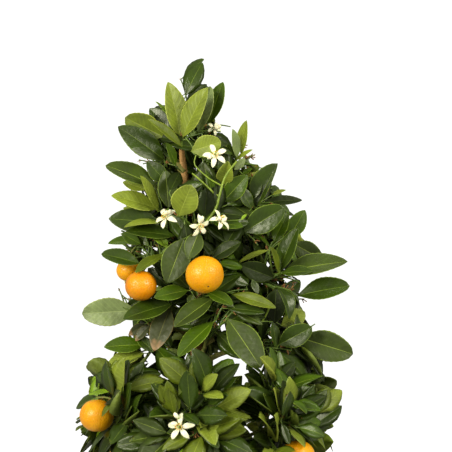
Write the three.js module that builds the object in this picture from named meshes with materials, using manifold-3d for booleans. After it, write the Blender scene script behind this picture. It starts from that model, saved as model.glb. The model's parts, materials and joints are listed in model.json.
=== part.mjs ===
// A calamondin orange tree, about 0.68 m tall, in a plain clay pot.
//
// The trunk runs up through the crown, and each bough leaves it 0.3 mm clear and ends where it
// enters a mass of foliage. A mass is one solid: a stem that carries on from its bough, twigs
// that branch from the stem, and the leaves, blossom and fruit fused to those twigs.
//
// Units are millimetres. +Z is up and +X is to the right of somebody in front of the tree, at -Y.
// The origin is the centre of the pot's flat underside.

import * as THREE from "three";
import { mergeVertices } from "three/addons/utils/BufferGeometryUtils.js";
import Module from "manifold-3d";

const wasm = await Module();
wasm.setup();

// ---------------------------------------------------------------- driving dimensions

const CLEAR = 0.3; // gap between neighbouring solids
const POT = { height: 165, foot: 66, lip: 95, wall: 6, floor: 9, band: 30, proud: 5, sides: 24 };
const SOIL = { level: 149, dome: 3, crown: 20 };
const FLARE = { height: 34, extra: 6.5 }; // root flare above the soil
const BOUGH = { base: 3.4, tip: 2.0, bow: 0.1, reach: 0.62 };
const STEM = { base: 2.0, tip: 1.5, straight: 6 };
const TWIG = { base: 1.3, tip: 1.0 };
const LEAF = { length: 50, breadth: 0.47, thickness: 1.6, sunk: 0.1, step: 3.5, fold: 0.1, bend: 0.1 };
const TRIES = 10; // directions that a rule leaf tries before its place stays bare
const TANGLE = { byHand: 60, byRule: 24 }; // a leaf whose joint would add more faces is skipped
const FILL = { leaves: 5, spread: 34 };
const FORK_STEP = 9; // boughs leave the trunk at least this far apart
const FLOWER = { radius: 11.5, thickness: 3 };
const STALK = 1.0; // radius of a fruit's or blossom's stalk
const SEED = 41;

// Trunk: [x, y, height, radius] from the flat cut on the soil to the tip.
const TRUNK = [
  [5, 2, SOIL.level + SOIL.dome + CLEAR, 7.6],
  [3, 4, 215, 7.0],
  [-2, 2, 290, 6.4],
  [-5, -1, 360, 5.8],
  [-9, -2, 430, 5.2],
  [-14, 0, 510, 4.5],
  [-20, -1, 575, 3.8],
  [-22, -2, 606, 3.1],
];

// How far the crown reaches at each height: [height, to the left, to the right, to front and back].
const REACH = [
  [190, 40, 50, 45],
  [225, 92, 96, 92],
  [290, 128, 132, 124],
  [350, 130, 142, 130],
  [410, 122, 144, 128],
  [470, 108, 140, 122],
  [520, 100, 106, 104],
  [580, 98, 74, 90],
  [630, 84, 46, 66],
  [683, 36, 14, 26],
];

const MERGE = 1e-3; // points closer than this become one
const SMOOTH = 0.03; // details smaller than this are evened out of the masses
const TRUNK_SIDES = 9;
const LIMB_SIDES = 4;
const GOLDEN_ANGLE = Math.PI * (3 - Math.sqrt(5));
const UP = new THREE.Vector3(0, 0, 1);
const TOWARDS_VIEWER = new THREE.Vector3(0, -1, 0);

// ---------------------------------------------------------------- masses of foliage
//
// fork: height on the trunk where the bough leaves; heart: where the mass's stem ends.
// sprays: twigs that end at `at`, with leaves given as
//   [clock, length, lean, roll], where clock is the direction in degrees seen from the front
//   (0 right, 90 up), lean is how far the leaf points at the viewer, and roll turns the blade:
//   0 shows its upper side to the front, 180 its underside, and 90 its edge.
// fill: how many more twigs branch by rule. fruit: [x, y, z, radius]; flowers: [x, y, z].
// A direct mass has no bough: its stem leaves the trunk itself.

const FRONT_MASSES = [
  {
    name: "crown_tip", fork: null, heart: [-21, 0, 630], fill: 1, flowers: [[7, 2, 627]],
    sprays: [
      { at: [-22, -12, 617], leaves: [[62, 57, 16, 168], [142, 48, 28, 150]] },
      { at: [-30, -4, 624], leaves: [[97, 59, 8, 190], [123, 36, 10, 70], [118, 42, -14, 20]] },
      { at: [-9, 2, 622], leaves: [[67, 52, -4, 15], [40, 34, -30, 0]] },
      { at: [7, 8, 632], leaves: [[74, 44, -8, 10]] },
    ],
  },
  {
    name: "upper_left", fork: 566, heart: [-36, -5, 598], fill: 1,
    sprays: [
      { at: [-38, -6, 617], leaves: [[153, 49, 12, 165], [140, 42, -20, 20]] },
      { at: [-39, -12, 592], leaves: [[143, 60, 8, 12], [112, 32, 30, 140]] },
      { at: [-46, -14, 566], leaves: [[154, 59, 6, -8], [150, 44, -22, 0]] },
    ],
  },
  {
    name: "upper_right", fork: 556, heart: [22, -2, 588], fill: 1, flowers: [[10, -20, 601]],
    sprays: [
      { at: [29, -4, 591], leaves: [[77, 45, 10, 150], [98, 35, 8, 55], [40, 31, 12, 120], [20, 22, -6, 0]] },
      { at: [-9, -24, 600], leaves: [[26, 38, 26, 160]] },
      { at: [19, -20, 566], leaves: [[76, 31, 40, 165], [42, 34, 10, -58]] },
      { at: [36, 4, 561], leaves: [[46, 36, -10, 15], [70, 34, -20, 30]] },
    ],
  },
  {
    name: "middle_left", fork: 512, heart: [-42, -12, 546], fill: 1, flowers: [[-38, -42, 539]],
    sprays: [
      { at: [-35, -24, 546], leaves: [[97, 40, 12, 8], [119, 42, 18, 62]] },
      { at: [-48, -20, 547], leaves: [[165, 49, 14, 155], [150, 42, -12, 170]] },
      { at: [-36, -22, 524], leaves: [[168, 63, 6, 8], [180, 42, 16, 74]] },
    ],
  },
  {
    name: "front_heart", direct: true, fork: 492, heart: [-8, -32, 535], fill: 0,
    flowers: [[-6, -58, 529], [15, -50, 540]],
    sprays: [
      { at: [-26, -46, 539], leaves: [[49, 45, 38, 168]] },
      { at: [1, -32, 539], leaves: [[84, 36, 4, 10], [124, 34, -6, 20]] },
      { at: [-4, -54, 522], leaves: [[232, 36, 22, 12], [246, 53, 8, -10]] },
      { at: [8, -44, 534], leaves: [[-9, 34, 16, -30]] },
    ],
  },
  {
    name: "middle_right", fork: 498, heart: [40, -4, 546], fill: 1,
    sprays: [
      { at: [49, -10, 549], leaves: [[61, 49, 6, 28], [6, 48, -6, 52], [30, 44, -24, 20]] },
      { at: [38, -26, 524], leaves: [[31, 51, 8, 6], [102, 38, 12, 130]] },
      { at: [37, 2, 560], leaves: [[45, 34, -6, 20], [80, 32, -12, 10]] },
      { at: [44, 0, 518], leaves: [[66, 46, -6, 10], [20, 40, 0, 25], [128, 38, 4, 20]] },
    ],
  },
  {
    name: "left", fork: 456, heart: [-54, -18, 496], fill: 1,
    fruit: [[-63, -46, 471, 15.5], [-77, -24, 485, 14.5]],
    sprays: [
      { at: [-57, -40, 497], leaves: [[175, 46, 4, 18], [152, 36, -14, 10]] },
      { at: [-42, -34, 502], leaves: [[213, 33, 22, 60], [150, 32, 6, 20]] },
      { at: [-68, -14, 514], leaves: [[186, 30, 6, 140], [160, 32, -10, 20]] },
    ],
  },
  {
    name: "front_low", direct: true, fork: 430, heart: [2, -36, 470], fill: 0, fruit: [[0, -78, 481.5, 19]],
    sprays: [
      { at: [-13, -46, 466], leaves: [[188, 38, 14, 24], [214, 34, 0, 0]] },
      { at: [8, -50, 461], leaves: [[-29, 29, 24, 20], [216, 50, 14, 14]] },
      { at: [27, -40, 463], leaves: [[-18, 47, 16, 118], [-50, 38, 4, 10]] },
      { at: [12, -44, 497], leaves: [[34, 33, 14, 14], [60, 34, 0, 10]] },
    ],
  },
  {
    name: "right", fork: 440, heart: [62, -8, 482], fill: 1,
    sprays: [
      { at: [68, -8, 513], leaves: [[64, 36, 6, 45], [60, 47, -10, 16], [-30, 42, -16, 10]] },
      { at: [82, 0, 515], leaves: [[42, 38, 4, 12], [-18, 42, 0, 12], [80, 34, -20, 20]] },
      {
        at: [74, -18, 480],
        leaves: [[67, 48, 10, 35], [12, 69, 2, 46], [155, 42, 14, 24], [107, 31, 22, 78]],
      },
      { at: [88, -8, 459], leaves: [[16, 58, 6, 8], [40, 34, -18, 12]] },
      { at: [71, -22, 468], leaves: [[-63, 37, 16, 48], [-76, 38, 4, 10]] },
    ],
  },
  {
    name: "lower_left", fork: 392, heart: [-50, -16, 436], fill: 1,
    sprays: [
      { at: [-34, -34, 452], leaves: [[196, 49, 14, 14], [241, 44, 18, 12]] },
      { at: [-56, -22, 433], leaves: [[214, 32, 8, 40], [250, 36, 0, 20]] },
      { at: [-66, -14, 446], leaves: [[186, 54, -4, 172]] },
      { at: [-54, -22, 403], leaves: [[177, 47, 8, -24], [200, 44, 4, 140]] },
    ],
  },
  {
    name: "lower_front", fork: 378, heart: [4, -40, 424], fill: 1,
    sprays: [
      { at: [14, -54, 441], leaves: [[223, 54, 16, 16], [240, 42, 0, 20]] },
      { at: [21, -58, 436], leaves: [[-37, 62, 18, 4], [-66, 46, 8, 30]] },
    ],
  },
  {
    name: "lower_right", fork: 384, heart: [62, -14, 416], fill: 1,
    sprays: [
      { at: [72, -28, 408], leaves: [[31, 42, 12, 10], [-4, 52, 4, 20]] },
      { at: [94, -12, 414], leaves: [[-12, 55, 6, 4], [4, 44, -14, 6]] },
      { at: [66, -8, 440], leaves: [[-32, 44, -6, 165]] },
    ],
  },
];

// Masses that follow a rule alone, in rings round the trunk: how many, the first one's angle in
// degrees from +X, the angle step, the height of the hearts, their distance from the trunk, and
// the twigs of each.
const RINGS = [
  { name: "upper_back", count: 2, first: 62, step: 62, height: 590, out: 34, fill: 4 },
  { name: "middle_back", count: 3, first: 28, step: 62, height: 520, out: 56, fill: 4 },
  { name: "lower_back", count: 3, first: 22, step: 68, height: 436, out: 74, fill: 4 },
  { name: "skirt", count: 6, first: 30, step: 60, height: 332, out: 84, fill: 4 },
  { name: "hem", direct: true, count: 3, first: 90, step: 120, height: 252, out: 52, fill: 4 },
];

// Fruit on the masses that the rings make: [name, x, y, z, radius].
const RING_FRUIT = [
  ["skirt_1", 88, 62, 322, 16],
  ["skirt_4", -104, -52, 344, 17],
  ["skirt_6", 92, -66, 306, 16.5],
  ["skirt_3", -84, 66, 300, 15.5],
  ["middle_back_2", -12, 92, 512, 16],
  ["lower_back_1", 96, 44, 428, 15],
];

// Blossom on the masses that the rings make: [name, x, y, z].
const RING_FLOWERS = [
  ["skirt_2", 6, 104, 352],
  ["skirt_5", -22, -112, 338],
  ["lower_back_3", -92, 46, 462],
  ["upper_back_1", 14, 52, 598],
];

// ---------------------------------------------------------------- small helpers

const vec = (a) => new THREE.Vector3(a[0], a[1], a[2]);
const radians = (degrees) => (degrees * Math.PI) / 180;
const mix = (a, b, t) => a + (b - a) * t;

/** A number from 0 to 1 that depends only on its whole-number keys. */
function chance(...keys) {
  let h = 2166136261 ^ SEED;
  for (const key of keys) {
    h = Math.imul(h ^ key, 16777619);
    h ^= h >>> 13;
    h = Math.imul(h, 1540483477);
    h ^= h >>> 15;
  }
  return (h >>> 0) / 4294967296;
}

/** The rows of a table, in straight lines between the heights in one of its columns. */
function between(table, column, height) {
  if (height <= table[0][column]) return table[0];
  const above = table.findIndex((row) => row[column] >= height);
  if (above < 0) return table[table.length - 1];
  const [low, high] = [table[above - 1], table[above]];
  const t = (height - low[column]) / (high[column] - low[column]);
  return low.map((value, i) => mix(value, high[i], t));
}

const trunkAt = (height) => vec(between(TRUNK, 2, height));

/** The part of a direction that is square to an axis, as a unit vector. */
function squareTo(axis, direction) {
  const part = direction.clone().addScaledVector(axis, -direction.dot(axis));
  return part.length() > 1e-6 ? part.normalize() : squareTo(axis, new THREE.Vector3(1, 0.3, 0.2));
}

/** A closed triangle mesh as a manifold-3d solid. */
function solid(points, triangles) {
  const vertProperties = new Float32Array(points.flatMap((p) => [p.x, p.y, p.z]));
  const triVerts = new Uint32Array(triangles.flat());
  return new wasm.Manifold(new wasm.Mesh({ numProp: 3, vertProperties, triVerts }));
}

/** A three.js geometry as a manifold-3d solid. */
function solidOf(geometry) {
  const bare = geometry.clone();
  bare.deleteAttribute("normal");
  bare.deleteAttribute("uv");
  const merged = mergeVertices(bare, MERGE);
  return new wasm.Manifold(
    new wasm.Mesh({
      numProp: 3,
      vertProperties: new Float32Array(merged.attributes.position.array),
      triVerts: new Uint32Array(merged.index.array),
    }),
  );
}

/** A manifold-3d solid's mesh as an indexed three.js geometry. */
function meshOf(shape) {
  const { vertProperties, triVerts } = shape.getMesh();
  const geometry = new THREE.BufferGeometry();
  geometry.setAttribute("position", new THREE.BufferAttribute(vertProperties.slice(), 3));
  geometry.setIndex(new THREE.BufferAttribute(triVerts.slice(), 1));
  return geometry;
}

/** The largest body of a solid, once its close points are merged. */
function settled(shape) {
  const bodies = solidOf(meshOf(shape).toNonIndexed()).decompose();
  return bodies.sort((a, b) => b.volume() - a.volume())[0];
}

/** Whether a solid is one body whose every edge still has two faces once its close points are merged. */
function isOneBody(shape) {
  const { index } = mergeVertices(meshOf(shape), MERGE);
  const edges = new Map();
  for (let i = 0; i < index.count; i += 3) {
    const corners = [0, 1, 2].map((j) => index.getX(i + j));
    if (new Set(corners).size < 3) continue;
    corners.forEach((c, j) => {
      const key = [c, corners[(j + 1) % 3]].sort((a, b) => a - b).join();
      edges.set(key, (edges.get(key) ?? 0) + 1);
    });
  }
  return [...edges.values()].every((faces) => faces === 2) && shape.decompose().length === 1;
}

/** A manifold-3d solid as a flat-shaded three.js geometry. */
function geometryOf(shape) {
  const flat = meshOf(shape).toNonIndexed();
  flat.computeVertexNormals();
  return flat;
}

/** A tapering limb through the points, with flat ends; level keeps its rings horizontal. */
function limb(points, radii, sides, level = false) {
  const last = points.length - 1;
  let side = null;
  const rings = points.map((point, i) => {
    const along = points[Math.min(i + 1, last)].clone().sub(points[Math.max(i - 1, 0)]);
    const axis = level ? UP.clone() : along.normalize();
    side = squareTo(axis, side ?? (Math.abs(axis.z) < 0.9 ? UP : new THREE.Vector3(1, 0, 0)));
    const across = axis.clone().cross(side);
    return Array.from({ length: sides }, (_, k) => {
      const turn = (2 * Math.PI * k) / sides;
      return point
        .clone()
        .addScaledVector(side, radii[i] * Math.cos(turn))
        .addScaledVector(across, radii[i] * Math.sin(turn));
    });
  });
  const triangles = [];
  for (let i = 0; i < last; i++)
    for (let k = 0; k < sides; k++) {
      const [a, b] = [i * sides + k, i * sides + ((k + 1) % sides)];
      triangles.push([a, b, b + sides], [a, b + sides, a + sides]);
    }
  for (let k = 1; k < sides - 1; k++) {
    triangles.push([0, k + 1, k]);
    triangles.push([last * sides, last * sides + k, last * sides + k + 1]);
  }
  return solid(rings.flat(), triangles);
}

/** The points of a limb from a to b that bows upwards by a share of its length. */
function bowed(a, b, bow, steps) {
  const lift = a.distanceTo(b) * bow;
  return Array.from({ length: steps + 1 }, (_, i) => {
    const t = i / steps;
    return a.clone().lerp(b, t).addScaledVector(UP, lift * 4 * t * (1 - t));
  });
}

/** The point at a share of the way along a line of points. */
function pointAlong(points, share) {
  const lengths = points.slice(1).map((p, i) => p.distanceTo(points[i]));
  let left = share * lengths.reduce((sum, length) => sum + length, 0);
  const i = lengths.findIndex((length) => (left <= length ? true : ((left -= length), false)));
  return i < 0 ? points[points.length - 1].clone() : points[i].clone().lerp(points[i + 1], left / lengths[i]);
}

// ---------------------------------------------------------------- leaves

/** A leaf's own frame: where it is rooted, its direction, its upper side, its length and its rim. */
function leaf(root, along, upper, length, rim) {
  const normal = squareTo(along, upper);
  const half = (length * LEAF.breadth) / 2;
  return { root, along, normal, across: normal.clone().cross(along), length, half, rim };
}

/** A point of a leaf: u runs from root to tip, v from edge to edge (-1 to 1), w is its height. */
function leafPoint(l, u, v, w = 0) {
  const rise = w + 2 * LEAF.fold * Math.abs(v) * l.half - LEAF.bend * u * u * l.length;
  return l.root
    .clone()
    .addScaledVector(l.along, u * l.length)
    .addScaledVector(l.across, v * l.half)
    .addScaledVector(l.normal, rise);
}

// The rim of a blade from its root round to its root, and how far along the ridge point is that
// its faces meet at: six-sided for the leaves set by hand, four-sided for the rest.
const RIMS = {
  full: [[0, 0], [0.34, -0.96], [0.72, -0.84], [1, 0], [0.72, 0.84], [0.34, 0.96]],
  plain: [[0, 0], [0.56, -1], [1, 0], [0.56, 1]],
};
const RIDGE = 0.3;

/** The closed blade: its root is sunk in its twig, and its faces meet at a point above and below. */
function leafSolid(l) {
  const sides = l.rim.length;
  const points = l.rim.map(([u, v], k) => leafPoint(l, k ? u : -LEAF.sunk / l.length, v));
  points.push(leafPoint(l, RIDGE, 0, LEAF.thickness / 2), leafPoint(l, RIDGE, 0, -LEAF.thickness / 2));
  const triangles = l.rim.flatMap((_, k) => {
    const next = (k + 1) % sides;
    return [[k, next, sides], [next, k, sides + 1]];
  });
  return solid(points, triangles);
}

/** Whether the straight piece from a to b passes through a triangle. */
function pierces(a, b, [p, q, r]) {
  const way = b.clone().sub(a);
  const [e, f] = [q.clone().sub(p), r.clone().sub(p)];
  const h = way.clone().cross(f);
  const area = e.dot(h);
  if (Math.abs(area) < 1e-9) return false;
  const from = a.clone().sub(p);
  const s = from.dot(h) / area;
  const g = from.cross(e);
  const t = way.dot(g) / area;
  const at = f.dot(g) / area;
  return s >= 0 && t >= 0 && s + t <= 1 && at >= 0 && at <= 1;
}

/** The faces and edges that the test for one leaf cutting another uses, clear of the leaf's root. */
function addOutline(l) {
  const rim = l.rim.map(([u, v], k) => leafPoint(l, k ? u : 0.12, v));
  const ridge = leafPoint(l, RIDGE, 0);
  l.faces = rim.map((p, k) => [p, rim[(k + 1) % rim.length], ridge]);
  l.edges = rim.flatMap((p, k) => [[p, rim[(k + 1) % rim.length]], [p, ridge]]);
  l.middle = leafPoint(l, 0.5, 0);
  return l;
}

/** Whether two leaves cut through each other. */
function crosses(l, other) {
  if (l.middle.distanceTo(other.middle) > (l.length + other.length) * 0.55) return false;
  const cuts = (edges, faces) => edges.some(([a, b]) => faces.some((face) => pierces(a, b, face)));
  return cuts(l.edges, other.faces) || cuts(other.edges, l.faces);
}

/** A leaf of a spray, from its clock angle, length, lean and roll. */
function keyLeaf(root, [clock, length, lean, roll]) {
  const level = new THREE.Vector3(Math.cos(radians(clock)), 0, Math.sin(radians(clock)));
  const along = level.multiplyScalar(Math.cos(radians(lean)));
  along.addScaledVector(TOWARDS_VIEWER, Math.sin(radians(lean)));
  const facing = squareTo(along, TOWARDS_VIEWER.clone().addScaledVector(UP, 0.35));
  return leaf(root, along, facing.applyAxisAngle(along, radians(roll)), length, RIMS.full);
}

// ---------------------------------------------------------------- layout

/** Whether a point is inside the crown's reach, shrunk to a share of it. */
function inCrown(p, share) {
  const [, left, right, deep] = between(REACH, 0, p.z);
  const wide = p.x < 0 ? left : right;
  return p.z > REACH[0][0] && (p.x / (wide * share)) ** 2 + (p.y / (deep * share)) ** 2 < 1;
}

/** The masses of the rings, laid out like the front ones, with no sprays set by hand. */
function ringMasses() {
  const owned = (table, name) => table.filter(([owner]) => owner === name).map(([, ...place]) => place);
  return RINGS.flatMap((ring, r) =>
    Array.from({ length: ring.count }, (_, k) => {
      const angle = radians(ring.first + ring.step * k + 10 * (chance(r, k, 1) - 0.5));
      const z = ring.height + 26 * (chance(r, k, 2) - 0.5);
      const middle = trunkAt(z);
      const name = `${ring.name}_${k + 1}`;
      return {
        name, direct: ring.direct, fill: ring.fill, sprays: [],
        fork: z - ring.out * 0.55,
        heart: [middle.x + ring.out * Math.cos(angle), middle.y + ring.out * Math.sin(angle), z],
        fruit: owned(RING_FRUIT, name),
        flowers: owned(RING_FLOWERS, name),
      };
    }),
  );
}

/** Raises the forks that are too close above one another. */
function spreadForks(masses) {
  const forked = masses.filter((m) => m.fork !== null).sort((a, b) => a.fork - b.fork);
  forked.slice(1).forEach((mass, i) => {
    mass.fork = Math.max(mass.fork, forked[i].fork + FORK_STEP);
  });
}

/** Lays out a mass's bough, where it has one, and the stem that carries on from it. */
function layStem(mass) {
  const heart = vec(mass.heart);
  const [below, top] = TRUNK.slice(-2).map(vec);
  const start = mass.fork === null ? top : trunkAt(mass.fork);
  let [entry, way, gap] = [start, top.clone().sub(below), CLEAR];
  if (mass.direct) [way, gap] = [heart.clone().sub(start), 0];
  else if (mass.fork !== null) {
    mass.bough = bowed(start, start.clone().lerp(heart, BOUGH.reach), BOUGH.bow, 3);
    entry = mass.bough[3];
    way = entry.clone().sub(mass.bough[2]);
  }
  way.normalize();
  const foot = entry.clone().addScaledVector(way, gap);
  mass.stem = [foot, foot.clone().addScaledVector(way, STEM.straight), heart];
}

/** Whether a straight twig keeps clear of the limbs, twigs and fruit of the other masses. */
function twigIsClear(start, end, mass, lines, fruits) {
  const twig = new THREE.Line3(start, end);
  const room = TWIG.base + 1;
  const near = new THREE.Vector3();
  const misses = ({ owner, points, radius }) =>
    owner === mass ||
    points.slice(1).every((p, i) => {
      const line = new THREE.Line3(points[i], p);
      return Math.sqrt(twig.distanceSqToLine3(line)) > radius + room;
    });
  const missesFruit = ([x, y, z, radius]) => {
    const centre = new THREE.Vector3(x, y, z);
    return twig.closestPointToPoint(centre, true, near).distanceTo(centre) > radius + room;
  };
  return lines.every(misses) && fruits.every(missesFruit);
}

/** The twigs of a mass: those set by hand, then more whose ends spread evenly round its heart. */
function layTwigs(mass, index, masses, lines) {
  const heart = vec(mass.heart);
  const fruits = masses.flatMap((m) => m.fruit ?? []);
  const addTwig = (end, key, leaves) => {
    const first = 0.6 * chance(index, key, 9);
    const starts = [0, 0.3, 0.6, 0.9].map((shift) => pointAlong(mass.stem, 0.25 + ((first + shift) % 0.7)));
    const start = starts.find((p) => twigIsClear(p, end, mass, lines, fruits));
    if (!start) return false;
    mass.twigs.push({ points: [start, end], leaves });
    lines.push({ owner: mass, points: [start, end], radius: TWIG.base });
    return true;
  };
  mass.twigs = [];
  mass.sprays.forEach(({ at, leaves }, s) => addTwig(vec(at), s, leaves));
  for (let k = 0, made = 0; made < mass.fill && k < 18; k++) {
    const turn = GOLDEN_ANGLE * (k + chance(index, 7)) + 1.3 * index;
    const tilt = 0.35 + 0.85 * ((k % 4) / 3);
    const side = squareTo(mass.out, UP).applyAxisAngle(mass.out, turn);
    const way = mass.out.clone().multiplyScalar(Math.cos(tilt)).addScaledVector(side, Math.sin(tilt));
    const longest = FILL.spread * mix(0.9, 1.2, chance(index, k, 3));
    const ends = [1, 0.8, 0.6, 0.45].map((share) => heart.clone().addScaledVector(way, longest * share));
    const end = ends.find((p) => inCrown(p, 0.85) && !(mass.key && p.y < heart.y - 4));
    if (!end) continue;
    const own = end.distanceTo(heart) * 0.75;
    const crowded = masses.some((m) => m !== mass && end.distanceTo(vec(m.heart)) < own);
    if (!crowded && addTwig(end, k + 20, [])) made++;
  }
}

/** Lays out every mass: its bough, stem and twigs. */
function layOut() {
  const masses = [...FRONT_MASSES.map((m) => ({ ...m, key: true })), ...ringMasses()];
  spreadForks(masses);
  const lines = [];
  for (const mass of masses) {
    mass.out = vec(mass.heart).sub(trunkAt(mass.heart[2] - 30)).normalize();
    layStem(mass);
    if (mass.bough) lines.push({ owner: mass, points: mass.bough, radius: BOUGH.base });
    lines.push({ owner: mass, points: mass.stem, radius: STEM.base });
  }
  masses.forEach((mass, index) => layTwigs(mass, index, masses, lines));
  return masses;
}

/** The leaf at a place along a twig by rule: a golden-angle spiral, its upper side to the light. */
function ruleLeaf(twig, out, keys, attempt) {
  const k = keys[2];
  const axis = twig.points[1].clone().sub(twig.points[0]).normalize();
  const turn = GOLDEN_ANGLE * k + 2 * Math.PI * chance(keys[0], keys[1], 5) + attempt * 1.05;
  const side = squareTo(axis, UP).applyAxisAngle(axis, turn);
  const open = radians(mix(34, 66, k / FILL.leaves) + 14 * (chance(...keys, 6) - 0.5) + 6 * attempt);
  const along = axis.clone().multiplyScalar(Math.cos(open)).addScaledVector(side, Math.sin(open));
  along.addScaledVector(out, 0.25).normalize();
  const upper = UP.clone().multiplyScalar(0.75).addScaledVector(out, 0.5).addScaledVector(axis, 0.5);
  const length = LEAF.length * mix(0.84, 1.16, chance(...keys, 8));
  return leaf(pointAlong(twig.points, 0.985 - (0.62 * k) / FILL.leaves), along, upper, length, RIMS.plain);
}

/** The tries for one place on a twig, best first: a leaf set by hand, a little turned, or a rule leaf. */
function tries(mass, index, s, k) {
  const twig = mass.twigs[s];
  if (k < twig.leaves.length) {
    const [clock, length, lean, roll] = twig.leaves[k];
    const back = (0.5 + k * LEAF.step) / twig.points[0].distanceTo(twig.points[1]);
    const root = pointAlong(twig.points, 1 - back);
    const nudges = [[0, 0], [0, -8], [6, 8], [-8, -14], [12, -4], [-14, 10]];
    return nudges.map(([turn, tilt]) => keyLeaf(root, [clock + turn, length, lean + tilt, roll]));
  }
  const keys = [index, s, k];
  const leaves = Array.from({ length: TRIES }, (_, attempt) => ruleLeaf(twig, mass.out, keys, attempt));
  return leaves.filter((l) => {
    const tip = leafPoint(l, 1, 0);
    return inCrown(tip, 1) && !(mass.key && tip.y < twig.points[1].y - 6);
  });
}

// ---------------------------------------------------------------- solids

/** A turned profile round the Z axis as a geometry. */
function turned(profile) {
  const points = profile.map(([radius, height]) => new THREE.Vector2(radius, height));
  return new THREE.LatheGeometry(points, POT.sides).rotateX(Math.PI / 2);
}

/** The radius of the pot's outer wall at a height. */
const potRadius = (height) => mix(POT.foot, POT.lip - POT.proud, height / POT.height);

/** The pot: a tapered clay shell with a plain band round its lip. */
function pot() {
  const { height, foot, lip, wall, floor, band } = POT;
  const inner = (z) => potRadius(z) - wall;
  return turned([
    [0, 0], [foot, 0], [potRadius(height - band), height - band], [lip, height - band + 1],
    [lip, height - 2], [lip - 2, height], [inner(height), height], [inner(floor), floor], [0, floor],
    [0, 0],
  ]);
}

/** The soil that fills the pot, a little domed round the trunk. */
function soil() {
  const floor = POT.floor + CLEAR;
  const inner = (z) => potRadius(z) - POT.wall - CLEAR * 1.6;
  return turned([
    [0, floor], [inner(floor), floor], [inner(SOIL.level), SOIL.level],
    [SOIL.crown, SOIL.level + SOIL.dome], [0, SOIL.level + SOIL.dome], [0, floor],
  ]);
}

/** The trunk, with a root flare over the soil; extra thickens it, to cut its neighbours clear. */
function trunk(extra = 0) {
  const bottom = TRUNK[0][2];
  const flare = [0, 0.18, 0.41, 0.7, 1].map((share) => bottom + share * FLARE.height);
  const rows = [...flare, ...TRUNK.slice(1).map((row) => row[2])].map((h) => between(TRUNK, 2, h));
  const radii = rows.map(([, , h, r]) => {
    const low = Math.max(0, 1 - (h - bottom) / FLARE.height);
    return r + FLARE.extra * low * low + extra;
  });
  return limb(rows.map(vec), radii, TRUNK_SIDES, true);
}

/** A blossom: a five-pointed star, open towards a direction. */
function blossom(centre, open) {
  const side = squareTo(open, UP);
  const points = Array.from({ length: 10 }, (_, k) => {
    const radius = k % 2 ? FLOWER.radius * 0.3 : FLOWER.radius;
    const way = side.clone().applyAxisAngle(open, (k * Math.PI) / 5);
    return centre.clone().addScaledVector(way, radius);
  });
  points.push(centre.clone().addScaledVector(open, FLOWER.thickness));
  points.push(centre.clone().addScaledVector(open, -FLOWER.thickness));
  const triangles = [];
  for (let k = 0; k < 10; k++) triangles.push([k, (k + 1) % 10, 10], [(k + 1) % 10, k, 11]);
  return solid(points, triangles);
}

/** A fruit and the stalk that it hangs by. */
function fruitOn(twigPoint, [x, y, z, radius]) {
  const globe = solidOf(new THREE.IcosahedronGeometry(radius, 1).translate(x, y, z));
  const crown = new THREE.Vector3(x, y, z + radius * 0.6);
  return globe.add(limb([twigPoint, crown], [STALK, STALK], 3));
}

/** A bough, cut clear of the trunk. */
function bough(points, trunkRoom) {
  const radii = points.map((_, i) => mix(BOUGH.base, BOUGH.tip, i / (points.length - 1)));
  return settled(limb(points, radii, LIMB_SIDES).subtract(trunkRoom));
}

/** The nearest point of a mass's stem and twigs to a place. */
function nearestOn(mass, place) {
  const lines = [mass.stem, ...mass.twigs.map((t) => t.points)];
  const pieces = lines.flatMap((line) => line.slice(1).map((p, i) => new THREE.Line3(line[i], p)));
  const near = pieces.map((line) => line.closestPointToPoint(place, true, new THREE.Vector3()));
  return near.sort((a, b) => a.distanceTo(place) - b.distanceTo(place))[0];
}

/** Whether a piece keeps clear of every one of some solids. */
function isClear(piece, others) {
  const a = piece.boundingBox();
  return others.every((other) => {
    const b = other.boundingBox();
    const apart = [0, 1, 2].some((i) => a.min[i] > b.max[i] + 1 || b.min[i] > a.max[i] + 1);
    return apart || piece.minGap(other, 1) > CLEAR;
  });
}

/** The wood of a mass as one solid: its stem and twigs, with its fruit and blossom. */
function woodOf(mass, trunkRoom, built) {
  const stem = limb(mass.stem, [STEM.base, STEM.base, STEM.tip], LIMB_SIDES);
  const twigs = mass.twigs.map((twig) => limb(twig.points, [TWIG.base, TWIG.tip], 3));
  const fruits = (mass.fruit ?? []).map((fruit) => {
    const hook = new THREE.Vector3(fruit[0], fruit[1], fruit[2] + fruit[3] + 6);
    return fruitOn(nearestOn(mass, hook), fruit);
  });
  const blossoms = (mass.flowers ?? []).map((place) => {
    const centre = vec(place);
    const foot = nearestOn(mass, centre);
    const open = centre.clone().sub(foot).normalize();
    return blossom(centre, open).add(limb([foot, centre], [STALK, STALK], 3));
  });
  return [...twigs, ...fruits, ...blossoms]
    .filter((piece) => isClear(piece, built))
    .reduce((sum, piece) => sum.add(piece), mass.direct ? settled(stem.subtract(trunkRoom)) : stem);
}

/** Whether a leaf keeps off the fruit and goes through no leaf and no twig but its own. */
function hasRoom(l, twig, masses, grown) {
  const centre = new THREE.Vector3();
  const near = new THREE.Vector3();
  const touches = (fruit) =>
    l.faces.some((face) => {
      centre.set(...fruit);
      return new THREE.Triangle(...face).closestPointToPoint(centre, near).distanceTo(centre) < fruit[3] + 1;
    });
  const cuts = (other) => other !== twig && l.faces.some((face) => pierces(...other.points, face));
  const blocked = (m) => (m.fruit ?? []).some(touches) || m.twigs.some(cuts);
  return !masses.some(blocked) && !grown.some((other) => crosses(l, other));
}

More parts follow.
